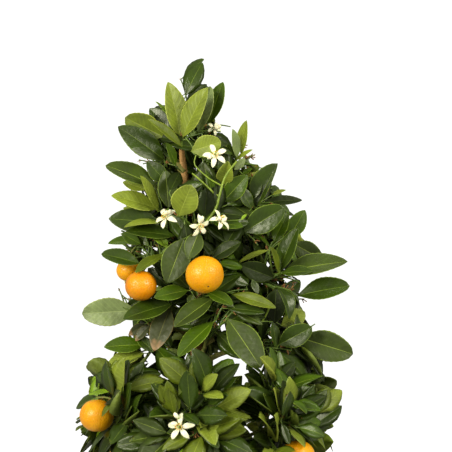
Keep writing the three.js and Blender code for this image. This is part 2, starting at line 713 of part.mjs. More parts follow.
/** Fuses to every mass's wood the leaves that find room, and returns the masses' solids. */
function leafOut(masses, woods, limbs) {
  const grown = [];
  const solids = [...woods];
  const addLeaf = (mass, index, s, k) => {
    const tangle = k < mass.twigs[s].leaves.length ? TANGLE.byHand : TANGLE.byRule;
    for (const l of tries(mass, index, s, k)) {
      addOutline(l);
      if (!hasRoom(l, mass.twigs[s], masses, grown)) continue;
      const piece = leafSolid(l);
      if (!isClear(piece, [...limbs, ...solids.filter((_, i) => i !== index)])) continue;
      const joined = solids[index].add(piece).simplify(SMOOTH);
      if (joined.numTri() - solids[index].numTri() > tangle || !isOneBody(joined)) continue;
      solids[index] = joined;
      grown.push(l);
      return;
    }
  };
  const addLeaves = (first, last) =>
    masses.forEach((mass, index) =>
      mass.twigs.forEach((twig, s) => {
        for (let k = first(twig); k < last(twig); k++) addLeaf(mass, index, s, k);
      }),
    );
  addLeaves(() => 0, (twig) => twig.leaves.length);
  addLeaves((twig) => twig.leaves.length, (twig) => Math.max(FILL.leaves, twig.leaves.length + 3));
  return solids;
}

// ---------------------------------------------------------------- the tree

const COLOURS = {
  clay: new THREE.MeshStandardMaterial({ color: 0xb5694a, roughness: 0.85 }),
  soil: new THREE.MeshStandardMaterial({ color: 0x3b2a1f, roughness: 1.0 }),
  bark: new THREE.MeshStandardMaterial({ color: 0xb08a5c, roughness: 0.8 }),
  foliage: new THREE.MeshStandardMaterial({ color: 0x3f5a22, roughness: 0.5 }),
};

const tree = new THREE.Group();

function addNode(name, geometry, material) {
  const mesh = new THREE.Mesh(geometry, material);
  mesh.name = name;
  tree.add(mesh);
}

addNode("pot", pot(), COLOURS.clay);
addNode("soil", soil(), COLOURS.soil);
addNode("trunk", geometryOf(trunk()), COLOURS.bark);

const trunkRoom = trunk(CLEAR);
const masses = layOut();
const limbs = [trunkRoom];
for (const mass of masses.filter((m) => m.bough)) {
  const shape = bough(mass.bough, trunkRoom);
  limbs.push(shape);
  addNode(`bough_${mass.name}`, geometryOf(shape), COLOURS.bark);
}
const woods = [];
for (const mass of masses) woods.push(woodOf(mass, trunkRoom, [...limbs, ...woods]));
leafOut(masses, woods, limbs).forEach((shape, i) => {
  addNode(masses[i].name, geometryOf(settled(shape)), COLOURS.foliage);
});

export default tree;
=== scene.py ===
"""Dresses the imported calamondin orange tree: bark, leaves, blossom, fruit, soil and a clay pot.

The boughs, twigs and leaves grow by the same rule as the tree's solids, and carry on to finer
shoots within the same reach. Growth is worked out in millimetres, +Z up, with the viewer at -Y.
A finished mesh is in metres.
"""

import json
import logging
import math
from dataclasses import dataclass, field
from enum import Enum
from typing import Callable, Iterable, NamedTuple, Sequence

import bpy
from mathutils import Matrix, Quaternion, Vector, noise
from mathutils.bvhtree import BVHTree
from mathutils.geometry import intersect_point_line

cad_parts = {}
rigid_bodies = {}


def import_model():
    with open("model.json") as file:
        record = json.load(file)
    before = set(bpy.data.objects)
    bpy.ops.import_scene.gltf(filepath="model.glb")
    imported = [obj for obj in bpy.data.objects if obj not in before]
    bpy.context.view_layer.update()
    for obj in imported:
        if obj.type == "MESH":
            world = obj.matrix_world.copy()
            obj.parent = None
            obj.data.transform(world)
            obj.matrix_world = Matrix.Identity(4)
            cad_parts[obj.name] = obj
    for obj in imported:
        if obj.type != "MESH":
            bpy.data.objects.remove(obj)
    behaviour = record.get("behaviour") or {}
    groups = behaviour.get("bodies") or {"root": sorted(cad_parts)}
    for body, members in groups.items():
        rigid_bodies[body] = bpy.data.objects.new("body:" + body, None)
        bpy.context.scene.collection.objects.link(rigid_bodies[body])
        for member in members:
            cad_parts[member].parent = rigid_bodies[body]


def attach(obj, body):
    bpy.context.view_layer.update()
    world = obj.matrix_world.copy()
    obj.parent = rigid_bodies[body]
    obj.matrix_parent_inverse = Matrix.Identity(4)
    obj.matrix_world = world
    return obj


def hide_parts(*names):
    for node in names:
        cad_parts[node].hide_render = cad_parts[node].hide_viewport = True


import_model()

log = logging.getLogger("calamondin")

MM = 0.001
UP = Vector((0, 0, 1))
RIGHT = Vector((1, 0, 0))
TO_VIEWER = Vector((0, -1, 0))
GOLDEN_ANGLE = math.pi * (3 - math.sqrt(5))
SEED = 41

Row = tuple[float, ...]
Pair = tuple[float, float]
Colour = tuple[int, int, int]
Mesh = bpy.types.Mesh
Material = bpy.types.Material
Socket = bpy.types.NodeSocket


# ---- the rule's sizes


@dataclass(frozen=True)
class Rule:
    """The sizes that the limbs, twigs and leaves grow by.

    Lengths and radii are in millimetres, and angles in degrees (try_turn and twig_open in
    radians). Plays, bows and other shares are parts of one.
    """

    clear: float = 0.3
    bough: Pair = (3.4, 2.0)
    bough_bow: float = 0.1
    bough_reach: float = 0.62
    stem: Pair = (2.0, 1.5)
    stem_straight: float = 6.0
    twig: Pair = (1.3, 0.9)
    shoot: Pair = (0.95, 0.6)
    petiole: Pair = (0.62, 0.5)
    leaf_length: float = 50.0
    length_play: Pair = (0.84, 1.16)
    shoot_play: Pair = (0.72, 0.95)
    leaf_breadth: float = 0.47
    breadth_play: Pair = (0.88, 1.12)
    leaf_open: Pair = (34.0, 66.0)
    leaf_roll: float = 50.0
    fold: float = 0.1
    bend: float = 0.1
    twig_leaves: int = 5
    stalk: float = 0.12
    shoots: int = 5
    spread: float = 34.0
    fork_step: float = 9.0
    tries: int = 12
    try_turn: float = 1.05
    outwards: float = 0.25
    shaded: float = 46.0
    twig_bow: float = 0.045
    twig_tries: int = 18
    twig_open: Pair = (0.35, 1.2)
    twig_play: Pair = (0.9, 1.2)
    twig_shares: Row = (1.0, 0.8, 0.6, 0.45)
    twig_within: float = 0.85
    crowding: float = 0.75
    shoot_tries: int = 6
    shoot_from: Pair = (0.25, 0.94)
    shoot_within: float = 0.86
    shoot_room: float = 1.6
    shoot_open: Pair = (38.0, 62.0)
    shoot_length: Pair = (16.0, 30.0)


RULE = Rule()

# Trunk: [x, y, height, radius] from the cut on the soil to the tip.
TRUNK: list[Row] = [
    (5, 2, 152.3, 7.6), (3, 4, 215, 7.0), (-2, 2, 290, 6.4), (-5, -1, 360, 5.8),
    (-9, -2, 430, 5.2), (-14, 0, 510, 4.5), (-20, -1, 575, 3.8), (-22, -2, 606, 3.1),
]

# How far the crown reaches at each height: [height, to the left, to the right, to front and back].
REACH: list[Row] = [
    (190, 40, 50, 45), (225, 92, 96, 92), (290, 128, 132, 124), (350, 130, 142, 130),
    (410, 122, 144, 128), (470, 108, 140, 122), (520, 100, 106, 104), (580, 98, 74, 90),
    (630, 84, 46, 66), (683, 36, 14, 26),
]

# How far the filling leaves spread, seen from the front: [height, leftmost x, rightmost x].
FILLED: list[Row] = [
    (395, -96, 132), (410, -84, 124), (425, -70, 108), (445, -66, 98), (470, -62, 92),
    (490, -72, 104), (510, -78, 104), (530, -78, 98), (550, -68, 84), (565, -56, 78),
    (580, -50, 70), (600, -52, 36), (615, -60, 20), (635, -60, 8), (655, -34, 12),
    (683, -22, 6),
]

# Small openings through the crown that the sky shows in, seen from the front: [x, height, radius].
SKY_GAPS: list[Row] = [
    (-55.5, 502, 2.6), (-57, 484, 1.2), (-25, 448, 1.2), (18, 430, 3.0), (54.5, 477, 1.6),
    (-47, 468, 1.4), (84, 476, 3.0), (-58, 415, 2.4),
]


class Tone(Enum):
    """How old a leaf is and how it takes the light, with painted light in two tones: a darker green that is
    painted shade, and a pale grey-green that is painted sheen on some leaves and a pale underside on
    others.
    """

    DARK = "dark"
    # Painted shade: a darker green for leaves that stand in shade within the crown.
    DEEP = "deep"
    GREY = "grey"
    MID = "mid"
    OLIVE = "olive"
    LIGHT = "light"
    FRESH = "fresh"
    BROWNED = "browned"
    # Painted sheen on some leaves and a pale underside on others: a pale grey-green.
    SILVERY = "silvery"


class Habit(Enum):
    """How a blade is held: its place in the list of blade templates."""

    PLAIN = 0
    CUPPED = 1
    RECURVED = 2
    TWIST_LEFT = 3
    TWIST_RIGHT = 4
    WAVY = 5
    ROUND = 6
    ARCHED = 7


class Leaflet(NamedTuple):
    """A listed leaf, as it looks from the front on the upright plane through the trunk.

    It runs from (x, z) to (tip_x, tip_z) and shows wide millimetres wide. It leans towards the
    viewer by lean in degrees, and its base is near millimetres in front of its twig's end.
    """

    x: float
    z: float
    tip_x: float
    tip_z: float
    wide: float
    tone: Tone
    lean: float = 8.0
    near: float = 0.0
    habit: Habit = Habit.PLAIN
    breadth: float = 0.5


class Spray:
    """A twig that ends at a place, with the leaves near its end, each given as a row."""

    def __init__(self, at: Row, *rows: tuple) -> None:
        """Takes the place and a row of each leaf's values in the order of Leaflet."""
        self.at = at
        self.leaves = tuple(Leaflet(*row) for row in rows)


class Bloom(NamedTuple):
    """An open flower: its middle, the way that it faces, and the clock angle of its first petal."""

    at: Row
    face: Row
    turn: float = 90.0
    size: float = 14.0


@dataclass
class Plan:
    """A mass of foliage as it is planned: where its bough forks off, and what it carries."""

    name: str
    fork: float | None
    heart: Row
    fill: int
    sprays: tuple[Spray, ...] = ()
    fruit: tuple[Row, ...] = ()
    flowers: tuple[Bloom, ...] = ()
    direct: bool = False
    in_front: bool = True


# Short names of the tones and habits, for the rows of the sprays. P is the darker tone of painted shade,
# and S a pale grey-green that is painted sheen on some leaves and a pale underside on others.
D, P, G, M, O, L = Tone.DARK, Tone.DEEP, Tone.GREY, Tone.MID, Tone.OLIVE, Tone.LIGHT
F, B, S = Tone.FRESH, Tone.BROWNED, Tone.SILVERY
FLAT, CUP, RE, WAVY = Habit.PLAIN, Habit.CUPPED, Habit.RECURVED, Habit.WAVY
TL, TR, ROUND, ARCH = Habit.TWIST_LEFT, Habit.TWIST_RIGHT, Habit.ROUND, Habit.ARCHED

# How often each habit comes up among the leaves that follow the rule.
HABITS = (FLAT, FLAT, CUP, RE, TL, TR, WAVY, ROUND)

# The tone of a spray that follows the rule, by the number up to which chance gives it.
SPRAY_TONES = ((0.48, D), (0.6, G), (0.77, M), (0.85, O), (0.97, L), (1.01, F))

# The masses that show from the front, with the sprays, flowers and fruit that are listed one by one.
FRONT_PLANS: list[Plan] = [
    Plan("crown_tip", None, (-21, 0, 630), 1, sprays=(
        Spray((-22, -12, 617), (-21.5, 617.5, 3.7, 667, 21, L, 16),
              (-21.5, 608, -56, 635.7, 9, O, 24, 6, FLAT, 0.28)),
        Spray((-30, -4, 624), (-23.6, 616.7, -36, 673, 22, L, 6, -2),
              (-28.4, 628, -48.3, 653.5, 4, F, 10), (-32.7, 625, -54.5, 646.5, 17, D, -14, -4)),
        Spray((-9, 2, 622), (-5, 622, 6.3, 668.7, 20, S, -4, 0, ROUND)),
        Spray((7, 8, 632), (5.4, 630.5, 19, 673, 18, M, -8)),
    ), flowers=(Bloom((10, 2, 627), (0.3, -1, 0.3), 60, 8),)),
    Plan("upper_left", 566, (-36, -5, 598), 1, sprays=(
        Spray((-38, -6, 617), (-40, 618, -79, 637.5, 26, O, 12, 0, ROUND)),
        Spray((-39, -12, 592), (-39.7, 595, -86, 628.4, 26, D), (-28, 589, -38, 612, 8, M, 26, 4)),
        Spray((-46, -14, 566), (-46.6, 568, -98.4, 589.5, 19, G, -4, 0, ROUND),
              (-37, 572.5, -57, 593.7, 17, D, -6, -6)),
    )),
    Plan("upper_right", 556, (22, -2, 588), 1, sprays=(
        Spray((29, -4, 591), (37.3, 600.3, 42.7, 634.7, 10.5, L, 10), (33, 597, 28.5, 626, 9, S),
              (31.3, 597, 23, 611, 7, M, 6, 3), (31.3, 594.3, 48.7, 605.3, 4.5, L, 12, 5),
              (30.7, 585, 41, 597, 8, S, 10, 8), (38, 581, 48.3, 586.7, 5, M, 0)),
        Spray((-9, -24, 600), (-13, 603.5, 17, 613.5, 22, L, 8, 2, ROUND, 0.6)),
        Spray((19, -20, 566), (19.3, 571, 24, 594, 16.5, L, 34, 0, CUP),
              (18.7, 553, 43.5, 580, 20, M, 10)),
        Spray((36, 4, 561), (36, 563.7, 58.3, 579, 14, D, -10)),
    ), flowers=(Bloom((11.5, -38, 598.8), (0.1, -1, 0.4), 180, 13),)),
    Plan("middle_left", 512, (-42, -12, 546), 1, sprays=(
        Spray((-35, -24, 546), (-35.3, 546.5, -38.8, 585, 19, G, -8),
              (-46, 543, -63.5, 579.4, 9, L, 4, 2)),
        Spray((-48, -20, 547), (-46, 546, -92.7, 559.3, 17, L, 14),
              (-58, 565, -81.2, 573, 11, L, -12, -2), (-58, 541, -81, 547, 8, L, -8, -6)),
        Spray((-36, -22, 524), (-44, 532, -95.3, 536.3, 25, D, 6),
              (-29.3, 519, -78, 523.7, 14, D, 10, 8), (-40.7, 531.7, -80, 527.7, 6, L, 16, 12, RE)),
    ), flowers=(Bloom((-37.5, -42, 537.5), (-0.4, -0.8, 0.5), 120, 13),)),
    Plan("front_heart", 492, (-8, -32, 535), 0, direct=True, sprays=(
        Spray((-26, -46, 539), (-25.5, 538.5, -12.5, 570, 27, L, 30, 2, ROUND, 0.62)),
        Spray((1, -32, 539), (0.7, 537.7, 3, 567, 19, D, 4)),
        Spray((-4, -54, 522), (-5, 523.5, -16, 496, 18, G, 22, 4),
              (-20, 517, -37, 471.8, 28, G, 8, -2)),
        Spray((8, -44, 534), (8.7, 532.3, 39.3, 528.3, 11, M, 16), (37, 535, 42.7, 540.7, 3, F)),
    ), flowers=(Bloom((-3.5, -62, 529), (0.5, -0.8, -0.25), 168, 12),
        Bloom((16.8, -52, 534.9), (0.6, -0.6, 0.6), 92, 12.5))),
    Plan("middle_right", 498, (40, -4, 546), 1, sprays=(
        Spray((49, -10, 549), (52, 547.5, 73.7, 591.5, 20, D, 6, 0, CUP),
              (60, 553, 98.3, 554.7, 10, P, -6, -6, FLAT, 0.28), (68, 560, 82, 565, 4, L, 0, -8),
              (54.5, 576, 55.8, 585, 3, F, 0, -10)),
        Spray((38, -26, 524), (39, 522.5, 80, 547.5, 26, D, 8, 0, ROUND),
              (48, 546, 35, 569, 12, D, 12, -6), (45, 553, 56.5, 580, 14, D, -4, -14)),
        Spray((37, 2, 560)),
        Spray((44, 0, 518)),
    )),
    Plan("left", 456, (-54, -18, 496), 1, sprays=(
        Spray((-57, -40, 497), (-63.3, 491, -102.7, 501, 15, D, 4, 0, ROUND)),
        Spray((-42, -34, 502), (-40.7, 501, -68, 482.3, 10, O, 22),
              (-36, 468, -56, 487, 14, D, -10, -22), (-36, 508, -51.3, 517, 5.5, F, 20),
              (-36, 509, -43, 518.5, 4.5, F, 10), (-35, 507, -40, 509, 2, F, 20)),
        Spray((-68, -14, 514), (-64.7, 515, -96, 511.5, 9, M, 6),
              (-63.3, 511, -82.7, 521.7, 11, M, -6, -6)),
    ), fruit=((-61.3, -46, 470.6, 15.6), (-74.9, -24, 485.2, 11.6))),
    Plan("front_low", 430, (2, -36, 470), 0, direct=True, sprays=(
        Spray((-13, -46, 466), (-16, 464.7, -50, 457.3, 14.5, M, 14), (-11, 461, -14, 449, 9, G, 10)),
        Spray((8, -50, 461), (3, 463, 28.7, 450, 11, M, 24), (9.5, 457, -30, 428, 18, G, 14)),
        Spray((27, -40, 463), (28, 461, 72, 447, 11.5, O, 16, 4, FLAT, 0.28)),
        Spray((12, -44, 497), (8, 496.3, 37, 513, 14, P, 14)),
    ), fruit=((1.3, -67, 481.9, 18.6),)),
    Plan("right", 440, (62, -8, 482), 1, sprays=(
        Spray((68, -8, 513), (69.7, 513, 84.3, 543, 15, M, 6)),
        Spray((82, 0, 515), (85, 517, 101, 545, 18, M, 4), (88, 512, 119.5, 495, 20, G, 0, -4)),
        Spray((74, -18, 480), (75.5, 484, 94, 527.5, 17, D, 10, 2), (78, 482, 143.5, 493.5, 20, G, 2),
              (70, 477, 36, 490, 20, P, 10), (75, 481, 66.7, 508, 6, O, 22, 6),
              (77, 481.5, 109, 483.7, 10, D, 12, 8), (65, 505, 35, 492.5, 5, L, 10, 2, FLAT, 0.28),
              (65.5, 508, 54.5, 519.5, 3, M, 0, -2), (47, 500, 36, 511, 8, P, 0, -8)),
        Spray((88, -8, 459), (93, 459, 145.7, 469, 21, D, 6, 0, ROUND),
              (80, 458, 96, 475, 15, D, -14, -6)),
        Spray((71, -22, 468), (72, 468, 85, 436, 12, D, 16, 4, ARCH),
              (72, 467, 70.5, 432, 22, P, 4, -4), (47.7, 475.5, 54, 461, 7, D, 8, 4)),
    )),
    Plan("lower_left", 392, (-50, -16, 436), 1, sprays=(
        Spray((-34, -34, 452), (-32, 451.3, -80.7, 436, 19, D, 14),
              (-34, 447, -50, 404, 22, B, 18, -2)),
        Spray((-56, -22, 433), (-59, 431, -75.3, 420, 10, B), (-54, 430, -68.7, 414, 9, B, 0, 4)),
        Spray((-66, -14, 446), (-66, 444.5, -122, 441.5, 28, S, -4, 0, ROUND),
              (-64, 455, -78, 447, 10, P, -4, -4)),
        Spray((-54, -22, 403), (-60, 410, -100, 408, 16, M), (-60, 402, -97, 390, 14, L, 4),
              (-50, 403, -69, 420, 11, M, 0, -4)),
    )),
    Plan("lower_front", 378, (4, -40, 424), 1, sprays=(
        Spray((14, -54, 441), (9, 433, -26, 398, 17, M, 16)),
        Spray((21, -58, 436), (23, 437, 57, 387, 29, G, 18, 0, ROUND),
              (68, 434, 72, 408, 9, D, 0, -30)),
    )),
    Plan("lower_right", 384, (62, -14, 416), 1, sprays=(
        Spray((72, -28, 408), (74, 410, 108, 428, 22, D, 12, 0, ROUND)),
        Spray((94, -12, 414), (94, 418, 149, 401, 30, G, 6, 0, ROUND)),
        Spray((66, -8, 440), (77, 429, 101, 443, 19, L, -6, 0, ROUND)),
    )),
]

# Bright young stems at the front, as they show: [depth, thickness], then (x, height) along each.
YOUNG_STEMS: list[tuple[Row, tuple[Row, ...]]] = [
    ((-44, 1.4), ((0.7, 531), (11.3, 545.7), (16, 561.7), (21.3, 578.3), (32.7, 593.7))),
    ((-43.5, 1.1), ((15.2, 558.5), (10, 562), (5.3, 566.3), (-4, 575), (-12, 581.7))),
    ((-43.5, 0.8), ((18.3, 569), (12, 572.3), (2.7, 578.3), (-9.3, 590.3), (-8, 600))),
    ((-36, 0.6), ((-33, 498), (-34, 503), (-36, 509))),
    ((-24, 1.2), ((66, 449), (61, 438), (55, 430))),
]


class Ring(NamedTuple):
    """Masses that follow a rule alone, evenly round the trunk at one height."""

    name: str
    count: int
    first: float
    step: float
    height: float
    out: float
    fill: int = 4
    direct: bool = False


RINGS: list[Ring] = [
    Ring("upper_back", 2, 62, 62, 590, 34),
    Ring("middle_back", 3, 28, 62, 520, 56),
    Ring("lower_back", 3, 22, 68, 436, 74),
    Ring("skirt", 6, 30, 60, 332, 84),
    Ring("hem", 3, 90, 120, 252, 52, direct=True),
]

# The fruit of those masses, as (x, y, z, radius), and their flowers.
RING_FRUIT: dict[str, Row] = {
    "skirt_1": (88, 62, 322, 16), "skirt_4": (-104, -52, 344, 17),
    "skirt_6": (92, -66, 306, 16.5), "skirt_3": (-84, 66, 300, 15.5),
    "middle_back_2": (-12, 92, 512, 16), "lower_back_1": (88, 56, 424, 14),
}

RING_FLOWERS: dict[str, Bloom] = {
    "skirt_2": Bloom((6, 104, 352), (0.1, 1, 0.2)),
    "skirt_5": Bloom((-22, -112, 338), (-0.3, -1, 0.2)),
    "lower_back_3": Bloom((-78, 66, 478), (-1, 0.8, 0.3), 90, 11),
    "upper_back_1": Bloom((14, 52, 598), (0.2, 1, 0.3)),
}


# ---- small helpers


def chance(*keys: int) -> float:
    """Returns a number from 0 to 1 that depends only on its whole-number keys.

    Args:
        keys: what the number is for.

    Returns:
        The number.
    """
    mask = 0xFFFFFFFF
    h = (2166136261 ^ SEED) & mask
    for key in keys:
        h = ((h ^ key) * 16777619) & mask
        h ^= h >> 13
        h = (h * 1540483477) & mask
        h ^= h >> 15
    return h / 4294967296


def mix(a: float, b: float, t: float) -> float:
    """Returns the number a share t of the way from a to b."""
    return a + (b - a) * t


def between(table: Sequence[Row], column: int, height: float) -> Row:
    """Returns the row of a table at a height, in straight lines between its rows.

    Args:
        table: rows in rising order of their height.
        column: which column holds the height.
        height: the height asked for.

    Returns:
        The row, or the nearest end row outside the table.
    """
    if height <= table[0][column]:
        return table[0]
    for low, high in zip(table, table[1:]):
        if high[column] >= height:
            t = (height - low[column]) / (high[column] - low[column])
            return tuple(mix(a, b, t) for a, b in zip(low, high))
    return table[-1]


def trunk_at(height: float) -> Vector:
    """Returns the middle of the trunk at a height."""
    return Vector(between(TRUNK, 2, height)[:3])


def square_to(axis: Vector, way: Vector) -> Vector:
    """Returns the part of a direction that is square to an axis, as a unit vector."""
    part = way - axis * way.dot(axis)
    return part.normalized() if part.length > 1e-6 else square_to(axis, Vector((1, 0.3, 0.2)))


def turned(way: Vector, axis: Vector, angle: float) -> Vector:
    """Returns a direction turned about an axis by an angle in radians."""
    return Quaternion(axis, angle) @ way


def level_way(turn: float) -> Vector:
    """Returns the level direction at an angle in radians, anticlockwise from +X."""
    return Vector((math.cos(turn), math.sin(turn), 0))


def leant(axis: Vector, side: Vector, angle: float) -> Vector:
    """Returns an axis tipped over to its side by an angle in radians."""
    return axis * math.cos(angle) + side * math.sin(angle)


def bowed(a: Vector, b: Vector, bow: float, steps: int, lift: Vector = UP) -> list[Vector]:
    """Returns the points of a limb from a to b that bows by a share of its length.

    Args:
        a: its foot.
        b: its end.
        bow: the share.
        steps: how many pieces it has.
        lift: the way that it bows.

    Returns:
        The points.
    """
    rise = (b - a).length * bow
    shares = (i / steps for i in range(steps + 1))
    return [a.lerp(b, t) + lift * (rise * 4 * t * (1 - t)) for t in shares]


def point_along(points: Sequence[Vector], share: float) -> Vector:
    """Returns the point at a share of the way along a line of points.

    Args:
        points: the line.
        share: the share, from 0 to 1.

    Returns:
        The point.
    """
    lengths = [(b - a).length for a, b in zip(points, points[1:])]
    left = share * sum(lengths)
    for a, b, length in zip(points, points[1:], lengths):
        if left <= length:
            return a.lerp(b, left / length)
        left -= length
    return points[-1].copy()


def nearest_on(a: Vector, b: Vector, place: Vector) -> Vector:
    """Returns the point of the piece from a to b that is nearest to a place."""
    _, share = intersect_point_line(place, a, b)
    return a.lerp(b, min(1.0, max(0.0, share)))


def gap_between(a: Vector, b: Vector, c: Vector, d: Vector) -> float:
    """Returns the smallest distance between the straight pieces a-b and c-d.

    Args:
        a, b: the ends of the first.
        c, d: the ends of the second.

    Returns:
        The distance.
    """
    one, two, apart = b - a, d - c, a - c
    e, f, g = one.dot(one), two.dot(two), two.dot(apart)
    h, k = one.dot(apart), one.dot(two)
    room = e * f - k * k
    s = min(1.0, max(0.0, (k * g - h * f) / room)) if room > 1e-9 else 0.0
    t = (k * s + g) / f
    if not 0.0 <= t <= 1.0:
        t = min(1.0, max(0.0, t))
        s = min(1.0, max(0.0, (k * t - h) / e))
    return ((a + one * s) - (c + two * t)).length


def in_crown(p: Vector, share: float) -> bool:
    """Says whether a point is inside the crown's reach, shrunk to a share of it.

    Args:
        p: the point.
        share: the share.

    Returns:
        Whether it is inside.
    """
    _, left, right, deep = between(REACH, 0, p.z)
    wide = left if p.x < 0 else right
    return p.z > REACH[0][0] and (p.x / (wide * share)) ** 2 + (p.y / (deep * share)) ** 2 < 1


# ---- meshes and pieces


def note(mesh: Mesh, name: str, kind: str, values: Sequence[float], domain: str = "POINT") -> None:
    """Writes an attribute of a mesh.

    Args:
        mesh: the mesh.
        name: the attribute's name.
        kind: its type, such as FLOAT or FLOAT_VECTOR.
        values: its values, one after another.
        domain: what it belongs to, POINT or FACE.
    """
    attribute = mesh.attributes.new(name, kind, domain)
    attribute.data.foreach_set("vector" if kind == "FLOAT_VECTOR" else "value", values)


class Surface:
    """Points and faces that are gathered into one mesh."""

    def __init__(self) -> None:
        """Starts with no points."""
        self.points: list[Vector] = []
        self.faces: list[tuple[int, ...]] = []
        self.parts: list[int] = []
        self.spots: list[Pair] = []

    def add_rings(
        self, rings: Sequence[Sequence[Vector]], parts: Sequence[int] | int = 0,
        spots: Sequence[Sequence[Pair]] | None = None, closed: bool = True,
    ) -> None:
        """Adds a tube of rings, with a flat cap at its ends.

        Args:
            rings: the rings' points, each ring anticlockwise seen from its far side.
            parts: the finish of each face round a ring, or one finish for all.
            spots: the pattern coordinates of each point, where the tube has any.
            closed: whether its last end has a cap too.
        """
        start, sides = len(self.points), len(rings[0])
        self.points += [p for ring in rings for p in ring]
        self.spots += [s for ring in spots for s in ring] if spots else [(0, 0)] * sides * len(rings)
        codes = [parts] * sides if isinstance(parts, int) else parts
        for i in range(len(rings) - 1):
            low = start + i * sides
            for k in range(sides):
                n = (k + 1) % sides
                self.faces.append((low + k, low + n, low + n + sides, low + k + sides))
                self.parts.append(codes[k])
        last = start + (len(rings) - 1) * sides
        self.faces.append(tuple(start + k for k in reversed(range(sides))))
        self.parts.append(codes[0])
        if closed:
            self.faces.append(tuple(last + k for k in range(sides)))
            self.parts.append(codes[0])

    def lathe(
        self, foot: Vector, axis: Vector, profile: Iterable[Pair], sides: int, part: int,
        side: Vector | None = None,
    ) -> None:
        """Adds a round form turned about an axis.

        Args:
            foot: where its profile starts.
            axis: its direction.
            profile: how far along the axis and how wide each of its rings is.
            sides: how many points a ring has.
            part: its finish.
            side: where each ring's first point lies.
        """
        side = side or square_to(axis, RIGHT)
        self.add_rings([ring_at(foot + axis * z, axis, side, r, sides) for z, r in profile], part)

    def mesh(self, name: str, scale: float = MM, smooth: bool = True) -> Mesh:
        """Makes the mesh.

        Args:
            name: the mesh's name.
            scale: what the points are multiplied by.
            smooth: whether its faces shade smoothly.

        Returns:
            The mesh, with the face attribute part and the UV map pattern.
        """
        made = bpy.data.meshes.new(name)
        made.from_pydata([p * scale for p in self.points], [], self.faces)
        note(made, "part", "INT", self.parts, "FACE")
        pattern = made.uv_layers.new(name="pattern")
        corners = [0] * len(made.loops)
        made.loops.foreach_get("vertex_index", corners)
        pattern.data.foreach_set("uv", [x for c in corners for x in self.spots[c]])
        made.polygons.foreach_set("use_smooth", [smooth] * len(made.polygons))
        made.validate()
        made.update()
        return made


def ring_at(centre: Vector, axis: Vector, side: Vector, radius: float, sides: int) -> list[Vector]:
    """Returns a ring of points round an axis, anticlockwise seen from the axis's end.

    Args:
        centre: its middle.
        axis: its axis, one unit long.
        side: where its first point lies, square to the axis.
        radius: its radius.
        sides: how many points it has.

    Returns:
        The points.
    """
    across = axis.cross(side)
    turns = (2 * math.pi * k / sides for k in range(sides))
    return [centre + side * (radius * math.cos(t)) + across * (radius * math.sin(t)) for t in turns]


def level_ring(z: float, radius: float, sides: int) -> list[Vector]:
    """Returns a level ring of points round the vertical axis."""
    return ring_at(UP * z, UP, RIGHT, radius, sides)


def ovoid(rows: int, blunt: float, ring: Callable[[float], list[Vector]]) -> list[list[Vector]]:
    """Returns the rings of a closed round form from pole to pole.

    Args:
        rows: how many bands it has.
        blunt: the share of its half turn at which each end is cut.
        ring: gives the ring at an angle from the first pole.

    Returns:
        The rings.
    """
    return [ring(math.pi * mix(blunt, 1 - blunt, i / rows)) for i in range(rows + 1)]


def smooth_path(points: Sequence[Vector], step: float) -> list[Vector]:
    """Returns points about a step apart on a smooth curve through the given points.

    Args:
        points: the given points.
        step: the step.

    Returns:
        The points of the curve.
    """
    ends = [points[0] * 2 - points[1], *points, points[-1] * 2 - points[-2]]
    path: list[Vector] = []
    for p0, p1, p2, p3 in zip(ends, ends[1:], ends[2:], ends[3:]):
        count = max(1, round((p2 - p1).length / step))
        for i in range(count):
            t = i / count
            path.append(0.5 * (
                2 * p1 + (p2 - p0) * t + (2 * p0 - 5 * p1 + 4 * p2 - p3) * t**2
                + (3 * p1 - p0 - 3 * p2 + p3) * t**3
            ))
    path.append(points[-1].copy())
    return path


def show(
    name: str, mesh: Mesh, finishes: Sequence[Material], nodes: Iterable[str]
) -> None:
    """Makes a finished mesh a piece of the tree.

    Args:
        name: the piece's name.
        mesh: its mesh, in place.
        finishes: its materials in the order of the part attribute, or none if it has its own.
        nodes: the CAD nodes that it replaces.
    """
    for finish in finishes:
        mesh.materials.append(finish)
    if finishes:
        codes = [0] * len(mesh.polygons)
        mesh.attributes["part"].data.foreach_get("value", codes)
        mesh.polygons.foreach_set("material_index", codes)
    obj = bpy.data.objects.new(name, mesh)
    bpy.context.scene.collection.objects.link(obj)
    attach(obj, "root")
    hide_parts(*nodes)
    log.info("%s: %d faces", name, len(mesh.polygons))


# ---- Geometry Nodes


class NodeMaker:
    """Adds nodes to a tree, one at a time."""

    tree: bpy.types.NodeTree

    def node(self, kind: str, inputs: dict[str, object], **settings: object) -> bpy.types.Node:
        """Adds a node.

        Args:
            kind: the node's type, such as GeometryNodeSetMaterial.
            inputs: what goes into its inputs by identifier: a socket or a value.
            settings: the node's own settings.

        Returns:
            The node.
        """
        made = self.tree.nodes.new(kind)
        for name, value in settings.items():
            setattr(made, name, value)
        sockets = {socket.identifier: socket for socket in made.inputs}
        for name, value in inputs.items():
            if isinstance(value, Socket):
                self.tree.links.new(value, sockets[name])
            else:
                sockets[name].default_value = value
        return made


